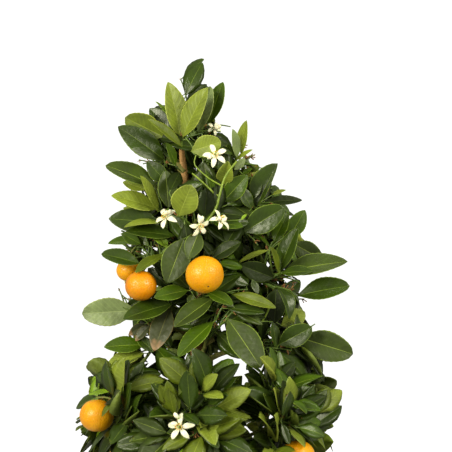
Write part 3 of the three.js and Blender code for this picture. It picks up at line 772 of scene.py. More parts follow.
class NodeTree(NodeMaker):
    """A Geometry Nodes tree."""

    def __init__(self, name: str) -> None:
        """Starts a tree that takes and gives a geometry.

        Args:
            name: the tree's name.
        """
        self.tree = bpy.data.node_groups.new(name, "GeometryNodeTree")
        for way in ("INPUT", "OUTPUT"):
            kind = "NodeSocketGeometry"
            self.tree.interface.new_socket("Geometry", in_out=way, socket_type=kind)
        self.source = self.tree.nodes.new("NodeGroupInput")
        self.result = self.tree.nodes.new("NodeGroupOutput")

    def input(self, name: str, kind: str) -> Socket:
        """Adds a named input of a kind such as Int or Material, and returns its socket."""
        self.tree.interface.new_socket(name, in_out="INPUT", socket_type=f"NodeSocket{kind}")
        return self.source.outputs[name]

    def named(self, name: str, kind: str) -> Socket:
        """Reads a named attribute of a kind such as INT or QUATERNION."""
        node = self.node("GeometryNodeInputNamedAttribute", {"Name": name}, data_type=kind)
        return node.outputs["Attribute"]

    def copies(self, points: Socket, **inputs: Socket) -> Socket:
        """Sets one of the input Templates on each point.

        Args:
            points: the points.
            inputs: more inputs of the copying node, with _ for a space.

        Returns:
            The copies.
        """
        templates = self.node("GeometryNodeCollectionInfo", {
            "Collection": self.input("Templates", "Collection"),
            "Separate Children": True, "Reset Children": True,
        }).outputs[0]
        values = {name.replace("_", " "): value for name, value in inputs.items()}
        values |= {"Points": points, "Instance": templates, "Pick Instance": True}
        return self.node("GeometryNodeInstanceOnPoints", values).outputs[0]

    def dress(self, shape: Socket, finishes: Sequence[Socket]) -> None:
        """Realizes the geometry and ends the tree with each part's material.

        Args:
            shape: the geometry.
            finishes: the material of each value of the attribute part, or one for all.
        """
        shape = self.node("GeometryNodeRealizeInstances", {"Geometry": shape}).outputs[0]
        for number, finish in enumerate(finishes):
            inputs: dict[str, object] = {"Geometry": shape, "Material": finish}
            if len(finishes) > 1:
                part = {"A_INT": self.named("part", "INT"), "B_INT": number}
                same = self.node("FunctionNodeCompare", part, data_type="INT", operation="EQUAL")
                inputs["Selection"] = same.outputs["Result"]
            shape = self.node("GeometryNodeSetMaterial", inputs).outputs[0]
        self.tree.links.new(shape, self.result.inputs["Geometry"])


def run_tree(mesh: Mesh, tree: bpy.types.NodeTree, values: dict[str, object]) -> Mesh:
    """Runs a Geometry Nodes tree on a mesh and returns its result as a plain mesh.

    Args:
        mesh: what goes in.
        tree: the tree.
        values: the tree's inputs by name.

    Returns:
        The new mesh.
    """
    holder = bpy.data.objects.new(mesh.name, mesh)
    bpy.context.scene.collection.objects.link(holder)
    modifier = holder.modifiers.new("grow", "NODES")
    modifier.node_group = tree
    for item in tree.interface.items_tree:
        if item.name in values:
            modifier[item.identifier] = values[item.name]
    bpy.context.view_layer.update()
    evaluated = holder.evaluated_get(bpy.context.evaluated_depsgraph_get())
    grown = bpy.data.meshes.new_from_object(evaluated)
    holder.modifiers.remove(modifier)
    bpy.data.objects.remove(holder)
    bpy.data.meshes.remove(mesh)
    for slot in reversed(range(len(grown.materials))):
        if grown.materials[slot] is None:
            grown.materials.pop(index=slot)
    return grown


def tube_tree() -> bpy.types.NodeTree:
    """Makes the tree of round shoots along a mesh's edges, as thick as its girth says.

    Returns:
        The tree, with the inputs Sides and Finish.
    """
    made = NodeTree("shoots")
    sides, finish = made.input("Sides", "Int"), made.input("Finish", "Material")
    curve = made.node("GeometryNodeMeshToCurve", {"Mesh": made.source.outputs["Geometry"]})
    profile = made.node("GeometryNodeCurvePrimitiveCircle", {"Resolution": sides, "Radius": 1.0})
    tube = made.node("GeometryNodeCurveToMesh", {
        "Curve": curve.outputs[0], "Profile Curve": profile.outputs[0],
        "Scale": made.named("girth", "FLOAT"), "Fill Caps": True,
    })
    smooth = made.node("GeometryNodeSetShadeSmooth", {"Geometry": tube.outputs[0]})
    made.dress(smooth.outputs[0], [finish])
    return made.tree


def scatter_tree(parts: int) -> bpy.types.NodeTree:
    """Returns the tree that sets templates on points, turned and sized as the points say.

    Args:
        parts: how many finishes a template has.

    Returns:
        The tree.
    """
    made = NodeTree(f"set_in_place_{parts}")
    finishes = [made.input(f"Finish {i}", "Material") for i in range(parts)]
    copies = made.copies(
        made.source.outputs["Geometry"], Instance_Index=made.named("shape", "INT"),
        Rotation=made.named("turn", "QUATERNION"), Scale=made.named("size", "FLOAT_VECTOR"),
    )
    made.dress(copies, finishes)
    return made.tree


def crumb_tree() -> bpy.types.NodeTree:
    """Makes the tree that strews templates over a surface, with a fixed seed.

    Returns:
        The tree, with the inputs Templates, Density, Smallest, Largest, Seed and Finish.
    """
    made = NodeTree("strew")
    seed, finish = made.input("Seed", "Int"), made.input("Finish", "Material")
    small, large = made.input("Smallest", "Float"), made.input("Largest", "Float")
    points = made.node("GeometryNodeDistributePointsOnFaces", {
        "Mesh": made.source.outputs["Geometry"], "Density": made.input("Density", "Float"), "Seed": seed,
    })
    turn = made.node("FunctionNodeRandomValue", {
        "Min": (0, 0, 0), "Max": (math.tau, math.tau, math.tau), "Seed": seed,
    }, data_type="FLOAT_VECTOR")
    sizes = {"Min_001": small, "Max_001": large, "Seed": seed}
    size = made.node("FunctionNodeRandomValue", sizes, data_type="FLOAT")
    copies = made.copies(points.outputs["Points"], Rotation=turn.outputs[0], Scale=size.outputs[1])
    made.dress(copies, [finish])
    return made.tree


class Templates:
    """Small meshes in a collection that a Geometry Nodes tree picks from by their order."""

    def __init__(self, name: str, meshes: Sequence[Mesh]) -> None:
        """Puts the meshes into a collection, in order.

        Args:
            name: the collection's name.
            meshes: the templates.
        """
        self.collection = bpy.data.collections.new(name)
        for number, mesh in enumerate(meshes):
            obj = bpy.data.objects.new(f"{name}_{number:02d}", mesh)
            self.collection.objects.link(obj)

    def remove(self) -> None:
        """Deletes the templates once their copies are made."""
        for obj in list(self.collection.objects):
            mesh = obj.data
            bpy.data.objects.remove(obj)
            bpy.data.meshes.remove(mesh)
        bpy.data.collections.remove(self.collection)


class Placings:
    """Where copies of templates go: their places, turns, sizes and shapes."""

    def __init__(self) -> None:
        """Starts with no copies."""
        self.places: list[Vector] = []
        self.turns: list[Quaternion] = []
        self.sizes: list[Row] = []
        self.shapes: list[int] = []

    def add(self, place: Vector, x: Vector, z: Vector, size: Row, shape: int) -> None:
        """Adds a copy with its own X along x and its own Z along z, sized in millimetres.

        Args:
            place: where it stands.
            x: where its X points.
            z: where its Z points.
            size: its size along its own axes.
            shape: its template's number.
        """
        frame_of = Matrix((x, z.cross(x), z)).transposed()
        self.places.append(place)
        self.turns.append(frame_of.to_quaternion())
        self.sizes.append(size)
        self.shapes.append(shape)

    def show(
        self, name: str, templates: Templates, finishes: Sequence[Material], nodes: Iterable[str]
    ) -> None:
        """Sets every copy in place by Geometry Nodes, joined as a piece of the tree.

        Args:
            name: the piece's name.
            templates: what to copy.
            finishes: the material of each part of a template.
            nodes: the CAD nodes that it replaces.
        """
        points = bpy.data.meshes.new(name)
        points.from_pydata([p * MM for p in self.places], [], [])
        note(points, "shape", "INT", self.shapes)
        note(points, "turn", "QUATERNION", [x for turn in self.turns for x in turn])
        note(points, "size", "FLOAT_VECTOR", [x * MM for size in self.sizes for x in size])
        values = {"Templates": templates.collection}
        values |= {f"Finish {i}": finish for i, finish in enumerate(finishes)}
        show(name, run_tree(points, scatter_tree(len(finishes)), values), (), nodes)


class Shoots:
    """Lines that become round tapering shoots."""

    def __init__(self) -> None:
        """Starts with no lines."""
        self.points: list[Vector] = []
        self.edges: list[tuple[int, int]] = []
        self.girths: list[float] = []

    def add(self, path: Sequence[Vector], girth: Pair) -> None:
        """Adds a shoot along a path that tapers from one radius to another.

        Args:
            path: the path.
            girth: the radius at its start and at its end.
        """
        start, last = len(self.points), len(path) - 1
        self.points += path
        self.edges += [(start + i, start + i + 1) for i in range(last)]
        self.girths += [mix(*girth, i / last) for i in range(last + 1)]

    def show(
        self, name: str, sides: int, finish: "BarkFinish | PlainFinish", nodes: Iterable[str],
        slot: str = "foliage",
    ) -> None:
        """Makes the shoots by Geometry Nodes, joined as a piece of the tree.

        Args:
            name: the piece's name.
            sides: how many sides a shoot has.
            finish: its finish.
            nodes: the CAD nodes that it replaces.
        """
        lines = bpy.data.meshes.new(name)
        lines.from_pydata([p * MM for p in self.points], self.edges, [])
        note(lines, "girth", "FLOAT", [girth * MM for girth in self.girths])
        values = {"Sides": sides, "Finish": finish.material()}
        show(name, run_tree(lines, tube_tree(), values), (), nodes)


# ---- finishes


def linear(colour: Colour, share: float = 1.0) -> Row:
    """Returns a share of a screen colour, each part from 0 to 255, as a material takes it.

    Args:
        colour: the colour.
        share: the share.

    Returns:
        Red, green, blue and 1.
    """
    parts = (part / 255 for part in colour)
    shown = (p / 12.92 if p <= 0.04045 else ((p + 0.055) / 1.055) ** 2.4 for p in parts)
    return tuple(min(1.0, p * share) for p in shown) + (1.0,)


class Paint(NodeMaker):
    """A material whose nodes are added one at a time."""

    def __init__(self, name: str, **plain: float | Row) -> None:
        """Starts a material, with plain numbers for its shader's own sockets.

        Args:
            name: the material's name.
            plain: the numbers by the sockets' names.
        """
        self.material = bpy.data.materials.new(name)
        self.material.use_nodes = True
        self.tree = self.material.node_tree
        self.shader = self.tree.nodes["Principled BSDF"]
        for name, value in plain.items():
            self.socket(name).default_value = value

    def socket(self, name: str) -> Socket:
        """Returns the shader's socket of a name such as base_color."""
        return next(s for s in self.shader.inputs if s.name.lower().replace(" ", "_") == name)

    def set(self, **inputs: Socket) -> None:
        """Joins outputs to the shader's sockets by name."""
        for name, value in inputs.items():
            self.tree.links.new(value, self.socket(name))

    def place(self) -> Socket:
        """Returns the place on the object, in metres."""
        return self.node("ShaderNodeTexCoord", {}).outputs["Object"]

    def stretched(self, x: float, y: float, z: float) -> Socket:
        """Returns the place on the object, multiplied along each axis."""
        inputs = {"Vector": self.place(), "Vector_001": (x, y, z)}
        return self.node("ShaderNodeVectorMath", inputs, operation="MULTIPLY").outputs["Vector"]

    def noise(self, scale: float, detail: float = 3.0, place: Socket | None = None) -> Socket:
        """Returns soft noise from 0 to 1."""
        inputs = {"Vector": place or self.place(), "Scale": scale, "Detail": detail}
        return self.node("ShaderNodeTexNoise", inputs).outputs["Fac"]

    def maths(self, operation: str, *values: object) -> Socket:
        """Returns the result of one step of arithmetic with one value or two."""
        inputs = dict(zip(("Value", "Value_001"), values))
        return self.node("ShaderNodeMath", inputs, operation=operation).outputs["Value"]

    def plus(self, one: object, two: object) -> Socket:
        """Returns a sum."""
        return self.maths("ADD", one, two)

    def times(self, one: object, two: object) -> Socket:
        """Returns a product."""
        return self.maths("MULTIPLY", one, two)

    def range(self, value: Socket, low: float, high: float, to_low: float, to_high: float) -> Socket:
        """Returns a value brought from one range into another, and kept within it."""
        ends = {"From Min": low, "From Max": high, "To Min": to_low, "To Max": to_high}
        return self.node("ShaderNodeMapRange", {"Value": value, **ends}).outputs["Result"]

    def ramp(self, value: Socket, low: float, high: float, most: float = 1.0) -> Socket:
        """Returns 0 up to a low value, then more, up to the most at a high one."""
        return self.range(value, low, high, 0, most)

    def blend(self, share: Socket, one: object, two: object) -> Socket:
        """Returns the colour a share of the way from one to two.

        Args:
            share: how much of two.
            one: a colour or an output.
            two: a colour or an output.

        Returns:
            The colour.
        """
        colours = (linear(c) if isinstance(c, tuple) and len(c) == 3 else c for c in (one, two))
        inputs = {"Factor_Float": share, **dict(zip(("A_Color", "B_Color"), colours))}
        made = self.node("ShaderNodeMix", inputs, data_type="RGBA")
        return next(s for s in made.outputs if s.identifier == "Result_Color")

    def bump(self, height: Socket, strength: float, depth: float) -> None:
        """Raises the surface by a height from 0 to 1 that stands for a depth in millimetres."""
        inputs = {"Height": height, "Strength": strength, "Distance": depth * MM}
        self.set(normal=self.node("ShaderNodeBump", inputs).outputs["Normal"])


@dataclass(frozen=True)
class LeafFinish:
    """The colours of one tone of leaf, how plain its side veins are, and its gloss."""

    upper: Colour
    under: Colour
    rib: Colour
    margin: Colour
    roughness: float = 0.3
    veins: float = 0.1
    gloss: float = 0.38
    tip: Colour | None = None

    def blade(self, name: str, colour: Colour, roughness: float, relief: float) -> Material:
        """Makes a blade's skin: soft mottling, side veins that follow the leaf, and fine pores.

        Args:
            name: the material's name.
            colour: its colour.
            roughness: how rough it is.
            relief: the depth of its bumps.

        Returns:
            The material.
        """
        paint = Paint(name, specular_ior_level=self.gloss)
        pattern = paint.node("ShaderNodeUVMap", {}, uv_map="pattern").outputs["UV"]
        along, across, _ = paint.node("ShaderNodeSeparateXYZ", {"Vector": pattern}).outputs
        side = paint.maths("ABSOLUTE", paint.maths("SUBTRACT", across, 0.5))
        row = paint.maths("SUBTRACT", paint.times(along, 10.0), paint.times(side, 4.6))
        wave = paint.maths("COSINE", paint.times(row, math.tau))
        vein = paint.maths("POWER", paint.ramp(wave, -1, 1), 7.0)
        soft = paint.noise(70.0, 2.0)
        paler = linear(colour, 1.5)
        ground = paint.blend(paint.ramp(soft, 0.32, 0.68), colour, linear(colour, 0.62))
        skin = paint.blend(paint.times(vein, self.veins * 1.5), ground, paler)
        if self.tip:
            edge = paint.plus(along, paint.times(paint.noise(160.0, 3.0), 0.5))
            skin = paint.blend(paint.ramp(edge, 1.02, 1.2), skin, self.tip)
        skin = paint.blend(paint.ramp(paint.noise(800.0, 2.0), 0.67, 0.74, 0.5), skin, paler)
        shine = paint.range(soft, 0.3, 0.7, roughness - 0.05, roughness + 0.12)
        paint.set(base_color=skin, roughness=shine)
        swell = paint.times(paint.noise(150.0, 1.0), 2.0)
        pores = paint.times(paint.noise(2600.0, 1.0), 0.12)
        sunk = paint.times(vein, self.veins)
        paint.bump(paint.plus(paint.maths("SUBTRACT", swell, sunk), pores), 0.7, relief)
        return paint.material

    def line(self, name: str, colour: Colour) -> Material:
        """Makes the plain finish of a rib or margin.

        Args:
            name: the material's name.
            colour: its colour.

        Returns:
            The material.
        """
        paint = Paint(name, base_color=linear(colour), specular_ior_level=0.3)
        paint.set(roughness=paint.range(paint.noise(900.0), 0.3, 0.7, 0.4, 0.6))
        return paint.material

    def materials(self, name: str) -> list[Material]:
        """Makes the finishes of a leaf's parts.

        Args:
            name: the tone's name.

        Returns:
            The materials of its upper side, rib, margin and underside.
        """
        return [
            self.blade(f"leaf_{name}_upper", self.upper, self.roughness, 0.5),
            self.line(f"leaf_{name}_rib", self.rib), self.line(f"leaf_{name}_margin", self.margin),
            self.blade(f"leaf_{name}_under", self.under, 0.55, 0.3),
        ]


LEAF_FINISHES: dict[Tone, LeafFinish] = {
    Tone.DARK: LeafFinish((46, 64, 11), (98, 114, 38), (94, 112, 38), (98, 118, 38)),
    # Painted shade: darker greens, with less gloss, for leaves that stand in shade.
    Tone.DEEP: LeafFinish((32, 45, 7), (72, 88, 28), (72, 88, 28), (72, 88, 26), 0.38, gloss=0.2),
    Tone.GREY: LeafFinish((53, 68, 18), (104, 118, 48), (120, 136, 54), (104, 122, 44), 0.38),
    Tone.MID: LeafFinish((62, 86, 10), (112, 132, 38), (122, 142, 46), (118, 140, 44)),
    Tone.OLIVE: LeafFinish((88, 102, 18), (114, 126, 34), (126, 138, 44), (132, 140, 46), 0.42, 0.14),
    Tone.LIGHT: LeafFinish((119, 133, 42), (136, 146, 52), (144, 156, 66), (158, 168, 76), 0.44, 0.2),
    Tone.FRESH: LeafFinish((116, 148, 28), (132, 156, 42), (150, 172, 64), (160, 178, 70), 0.42, 0.14),
    Tone.BROWNED: LeafFinish(
        (48, 54, 22), (92, 98, 48), (96, 96, 46), (104, 92, 52), 0.45, tip=(124, 96, 66)),
    # A pale grey-green that is painted sheen on some leaves and a pale underside on others.
    Tone.SILVERY: LeafFinish(
        (120, 136, 88), (150, 160, 106), (140, 154, 102), (152, 164, 102), 0.4, 0.14),
}


@dataclass(frozen=True)
class BarkFinish:
    """Bark: a ground colour with streaks along the limb, pale scars and fine relief."""

    name: str
    ground: Colour
    streak: Colour
    scar: Colour
    relief: float

    def material(self) -> Material:
        """Makes the bark.

        Returns:
            The material.
        """
        paint = Paint(self.name, specular_ior_level=0.3)
        along = paint.noise(260.0, 4.0, paint.stretched(1, 1, 0.16))
        flecks = paint.noise(420.0, 2.0, paint.stretched(0.5, 0.5, 1.8))
        ground = paint.blend(paint.ramp(along, 0.35, 0.65), self.ground, self.streak)
        scarred = paint.blend(paint.ramp(flecks, 0.62, 0.72, 0.8), ground, self.scar)
        paint.set(base_color=scarred, roughness=paint.range(along, 0.2, 0.8, 0.62, 0.85))
        paint.bump(paint.plus(along, paint.times(flecks, 0.6)), 0.8, self.relief)
        return paint.material


@dataclass(frozen=True)
class PlainFinish:
    """A soft-toned skin: two near colours in patches, and a fine grain."""

    name: str
    colour: Colour
    second: Colour
    roughness: float
    patch: float = 200.0
    grain: float = 1500.0
    relief: float = 0.1
    subsurface: float = 0.0

    def material(self) -> Material:
        """Makes the skin.

        Returns:
            The material.
        """
        paint = Paint(self.name, subsurface_weight=self.subsurface, subsurface_scale=2 * MM)
        patches = paint.ramp(paint.noise(self.patch, 2.0), 0.35, 0.65)
        grain = paint.noise(self.grain, 2.0)
        colour = paint.blend(patches, self.colour, self.second)
        low, high = self.roughness - 0.06, self.roughness + 0.08
        paint.set(base_color=colour, roughness=paint.range(grain, 0.3, 0.7, low, high))
        paint.bump(grain, 0.6, self.relief)
        return paint.material


@dataclass(frozen=True)
class PeelFinish:
    """Citrus peel: warm patches, and oil glands as small pits."""

    name: str
    colour: Colour
    deep: Colour

    def material(self) -> Material:
        """Makes the peel.

        Returns:
            The material.
        """
        paint = Paint(self.name, specular_ior_level=0.42, subsurface_weight=0.08, subsurface_scale=3 * MM)
        cells = paint.node("ShaderNodeTexVoronoi", {"Vector": paint.place(), "Scale": 560.0})
        pit = paint.ramp(cells.outputs["Distance"], 0.0, 0.45)
        skin = paint.blend(paint.ramp(paint.noise(55.0, 2.0), 0.35, 0.65), self.colour, self.deep)
        pitted = paint.blend(paint.range(pit, 0.0, 0.6, 0.35, 0), skin, self.deep)
        paint.set(base_color=pitted, roughness=paint.range(pit, 0, 1, 0.48, 0.32))
        paint.bump(paint.plus(pit, paint.times(paint.noise(180.0), 0.8)), 0.8, 0.4)
        return paint.material


@dataclass(frozen=True)
class ClayFinish:
    """Fired clay: warm patches, pale lime bloom and a fine grain."""

    name: str = "clay"
    body: Colour = (176, 98, 64)
    pale: Colour = (198, 130, 94)
    bloom: Colour = (214, 190, 168)
    speck: Colour = (120, 66, 44)

    def material(self) -> Material:
        """Makes the clay.

        Returns:
            The material.
        """
        paint = Paint(self.name, specular_ior_level=0.25)
        patches = paint.noise(14.0, 5.0)
        rings = paint.noise(90.0, 2.0, paint.stretched(0.08, 0.08, 1.6))
        lime = paint.noise(34.0, 6.0, paint.stretched(1, 1, 0.6))
        grain = paint.noise(1400.0, 3.0)
        ground = paint.blend(paint.ramp(patches, 0.3, 0.7), self.body, self.pale)
        bloomed = paint.blend(paint.ramp(lime, 0.54, 0.74, 0.55), ground, self.bloom)
        speckled = paint.blend(paint.ramp(grain, 0.62, 0.8, 0.5), bloomed, self.speck)
        paint.set(base_color=speckled, roughness=paint.range(lime, 0.3, 0.7, 0.78, 0.95))
        paint.bump(paint.plus(paint.times(rings, 1.4), paint.times(grain, 0.4)), 0.7, 0.35)
        return paint.material


@dataclass(frozen=True)
class SoilFinish:
    """Damp potting soil, or the crumbs and grains in it."""

    name: str
    dark: Colour
    light: Colour

    def material(self) -> Material:
        """Makes the soil.

        Returns:
            The material.
        """
        paint = Paint(self.name, specular_ior_level=0.2)
        lumps = paint.noise(240.0, 6.0)
        fine = paint.noise(1100.0, 4.0)
        colour = paint.blend(paint.ramp(lumps, 0.35, 0.65), self.dark, self.light)
        paint.set(base_color=colour, roughness=paint.range(fine, 0.3, 0.7, 0.8, 1.0))
        paint.bump(paint.plus(lumps, fine), 0.9, 0.7)
        return paint.material


# ---- how the tree grows


@dataclass
class Leaf:
    """One leaf: where its stalk leaves the twig, its blade from base to tip, and its looks."""

    foot: Vector
    base: Vector
    tip: Vector
    normal: Vector
    breadth: float
    tone: Tone
    habit: Habit
    by_hand: bool = False

    @property
    def length(self) -> float:
        """The blade's length."""
        return (self.tip - self.base).length

    @property
    def along(self) -> Vector:
        """The direction from the blade's base to its tip."""
        return (self.tip - self.base).normalized()

    def point(self, u: float, v: float) -> Vector:
        """Works out a point of the blade.

        Args:
            u: its share of the way from base to tip.
            v: its place from edge to edge, -1 to 1.

        Returns:
            The point.
        """
        half = self.length * self.breadth / 2
        rise = 2 * RULE.fold * abs(v) * half + RULE.bend * (u - u * u) * self.length
        across = self.normal.cross(self.along)
        return self.base.lerp(self.tip, u) + across * (v * half) + self.normal * rise

    def outline(self) -> list[Vector]:
        """Returns the blade's outline, clear of its base."""
        rim = ((0.03, 0), (0.26, -0.86), (0.7, -0.86), (1, 0), (0.7, 0.86), (0.26, 0.86))
        return [self.point(u, v) for u, v in rim]


@dataclass
class Twig:
    """A twig or a finer shoot, straight in the rule and a little bowed when it is drawn."""

    start: Vector
    end: Vector
    leaves: tuple[Leaflet, ...]
    key: int
    path: list[Vector] = field(default_factory=list)
    girth: Pair = RULE.twig

    def __post_init__(self) -> None:
        """Bows the path a little."""
        self.path = bowed(self.start, self.end, RULE.twig_bow, 6, square_to(self.axis, UP))

    @property
    def axis(self) -> Vector:
        """The straight direction."""
        return (self.end - self.start).normalized()


@dataclass
class Mass:
    """A mass of foliage as it grows: its bough, stem, twigs and finer shoots."""

    plan: Plan
    index: int
    heart: Vector
    fork: float | None
    out: Vector = UP
    bough: list[Vector] = field(default_factory=list)
    stem: list[Vector] = field(default_factory=list)
    twigs: list[Twig] = field(default_factory=list)
    shoots: list[Twig] = field(default_factory=list)

    def lay_stem(self) -> None:
        """Lays out the bough, where there is one, and the stem that carries on from it."""
        below, top = (Vector(row[:3]) for row in TRUNK[-2:])
        start = top if self.fork is None else trunk_at(self.fork)
        entry, way, gap = start, top - below, RULE.clear
        if self.plan.direct:
            way, gap = self.heart - start, 0.0
        elif self.fork is not None:
            self.bough = bowed(start, start.lerp(self.heart, RULE.bough_reach), RULE.bough_bow, 3)
            entry = self.bough[3]
            way = entry - self.bough[2]
        way.normalize()
        foot = entry + way * gap
        self.stem = [foot, foot + way * RULE.stem_straight, self.heart]

    def nearest(self, place: Vector) -> Vector:
        """Returns the nearest point of the stem and twigs to a place.

        Args:
            place: the place.

        Returns:
            The point.
        """
        pieces = list(zip(self.stem, self.stem[1:])) + [(t.start, t.end) for t in self.twigs]
        near = [nearest_on(a, b, place) for a, b in pieces]
        return min(near, key=lambda p: (p - place).length)


class Line(NamedTuple):
    """A straight limb of some mass, with its radius."""

    owner: int
    a: Vector
    b: Vector
    radius: float


def ring_plans() -> list[Plan]:
    """Plans the masses that follow a rule alone.

    Returns:
        Their plans.
    """
    plans = []
    for r, ring in enumerate(RINGS):
        for k in range(ring.count):
            angle = math.radians(ring.first + ring.step * k + 10 * (chance(r, k, 1) - 0.5))
            z = ring.height + 26 * (chance(r, k, 2) - 0.5)
            middle = trunk_at(z)
            name = f"{ring.name}_{k + 1}"
            heart = (middle.x + ring.out * math.cos(angle), middle.y + ring.out * math.sin(angle), z)
            plans.append(Plan(
                name, z - ring.out * 0.55, heart, ring.fill, direct=ring.direct, in_front=False,
                fruit=(RING_FRUIT[name],) if name in RING_FRUIT else (),
                flowers=(RING_FLOWERS[name],) if name in RING_FLOWERS else (),
            ))
    return plans


class Growth:
    """The tree's limbs, twigs and shoots, laid out by rule."""

    def __init__(self) -> None:
        """Lays out every mass."""
        plans = FRONT_PLANS + ring_plans()
        self.masses = [Mass(p, i, Vector(p.heart), p.fork) for i, p in enumerate(plans)]
        self.fruit = [place for p in plans for place in p.fruit]
        self.flowers = [Vector(bloom.at) for p in plans for bloom in p.flowers]
        self.lines: list[Line] = []
        self.spread_forks()
        for mass in self.masses:
            mass.out = (mass.heart - trunk_at(mass.heart.z - 30)).normalized()
            mass.lay_stem()
            self.add_lines(mass.index, mass.bough, RULE.bough[0])
            self.add_lines(mass.index, mass.stem, RULE.stem[0])
        for mass in self.masses:
            self.lay_twigs(mass)
        for mass in self.masses:
            self.lay_shoots(mass)

    @property
    def nodes(self) -> list[str]:
        """The names of the masses' nodes."""
        return [mass.plan.name for mass in self.masses]

    def add_lines(self, owner: int, points: Sequence[Vector], radius: float) -> None:
        """Notes a limb's straight pieces."""
        self.lines += [Line(owner, a, b, radius) for a, b in zip(points, points[1:])]

    def spread_forks(self) -> None:
        """Raises the forks that are too close above one another."""
        forked = sorted((m for m in self.masses if m.fork is not None), key=lambda m: m.fork)
        for below, mass in zip(forked, forked[1:]):
            mass.fork = max(mass.fork, below.fork + RULE.fork_step)

    def is_clear(self, start: Vector, end: Vector, owner: int, room: float) -> bool:
        """Says whether a straight twig keeps clear of the other masses' limbs and of the fruit.

        Args:
            start: its foot.
            end: its end.
            owner: the number of its mass.
            room: the room that it needs.

        Returns:
            Whether it is clear.
        """
        for line in self.lines:
            if line.owner != owner and gap_between(start, end, line.a, line.b) <= line.radius + room:
                return False
        for x, y, z, radius in self.fruit:
            centre = Vector((x, y, z))
            if (nearest_on(start, end, centre) - centre).length <= radius + room:
                return False
        return True

    def add_twig(self, mass: Mass, end: Vector, key: int, leaves: tuple[Leaflet, ...]) -> bool:
        """Adds a twig from the mass's stem to a place, where one has room.

        Args:
            mass: the mass.
            end: the place.
            key: the twig's number.
            leaves: its listed leaves.

        Returns:
            Whether it was added.
        """
        first = 0.6 * chance(mass.index, key, 9)
        for shift in (0, 0.3, 0.6, 0.9):
            start = point_along(mass.stem, 0.25 + (first + shift) % 0.7)
            if self.is_clear(start, end, mass.index, RULE.twig[0] + 1):
                mass.twigs.append(Twig(start, end, leaves, key))
                self.add_lines(mass.index, (start, end), RULE.twig[0])
                return True
        return False

    def lay_twigs(self, mass: Mass) -> None:
        """Lays out a mass's twigs: those listed, then more round its heart by rule.

        Args:
            mass: the mass.
        """
        index, heart = mass.index, mass.heart
        for s, spray in enumerate(mass.plan.sprays):
            self.add_twig(mass, Vector(spray.at), s, spray.leaves)
        made = 0
        for k in range(RULE.twig_tries):
            if made >= mass.plan.fill:
                break
            turn = GOLDEN_ANGLE * (k + chance(index, 7)) + 1.3 * index
            side = turned(square_to(mass.out, UP), mass.out, turn)
            way = leant(mass.out, side, mix(*RULE.twig_open, (k % 4) / 3))
            longest = RULE.spread * mix(*RULE.twig_play, chance(index, k, 3))
            ends = [heart + way * (longest * share) for share in RULE.twig_shares]
            low = heart.y - 4 if mass.plan.in_front else -1e9
            end = next((p for p in ends if in_crown(p, RULE.twig_within) and p.y >= low), None)
            if end is None:
                continue
            own = (end - heart).length * RULE.crowding
            crowded = any(m is not mass and (end - m.heart).length < own for m in self.masses)
            if not crowded and self.add_twig(mass, end, k + 20, ()):
                made += 1

    def lay_shoots(self, mass: Mass) -> None:
        """Lays out the finer shoots that branch from a mass's twigs and stem.

        Args:
            mass: the mass.
        """
        parents = [(t.start, t.end) for t in mass.twigs] + [tuple(mass.stem[1:])]
        for s, (start, end) in enumerate(parents):
            axis = (end - start).normalized()
            for j in range(RULE.shoots):
                keys = (mass.index, s, j)
                share = (j + chance(*keys, 31)) / RULE.shoots
                root = start.lerp(end, mix(*RULE.shoot_from, share))
                turn = GOLDEN_ANGLE * j + math.tau * chance(*keys, 32)
                for attempt in range(RULE.shoot_tries):
                    side = turned(square_to(axis, UP), axis, turn + RULE.try_turn * attempt)
                    way = leant(axis, side, math.radians(mix(*RULE.shoot_open, chance(*keys, 33))))
                    way = (way + mass.out * RULE.outwards + UP * 0.15).normalized()
                    tip = root + way * mix(*RULE.shoot_length, chance(*keys, 34))
                    ahead = mass.plan.in_front and tip.y < min(root.y, mass.heart.y) - 2
                    if ahead or not in_crown(tip, RULE.shoot_within):
                        continue
                    if self.is_clear(root, tip, mass.index, RULE.shoot_room):
                        mass.shoots.append(Twig(root, tip, (), 60 + 8 * s + j, girth=RULE.shoot))
                        self.add_lines(mass.index, (root, tip), RULE.shoot[0])
                        break


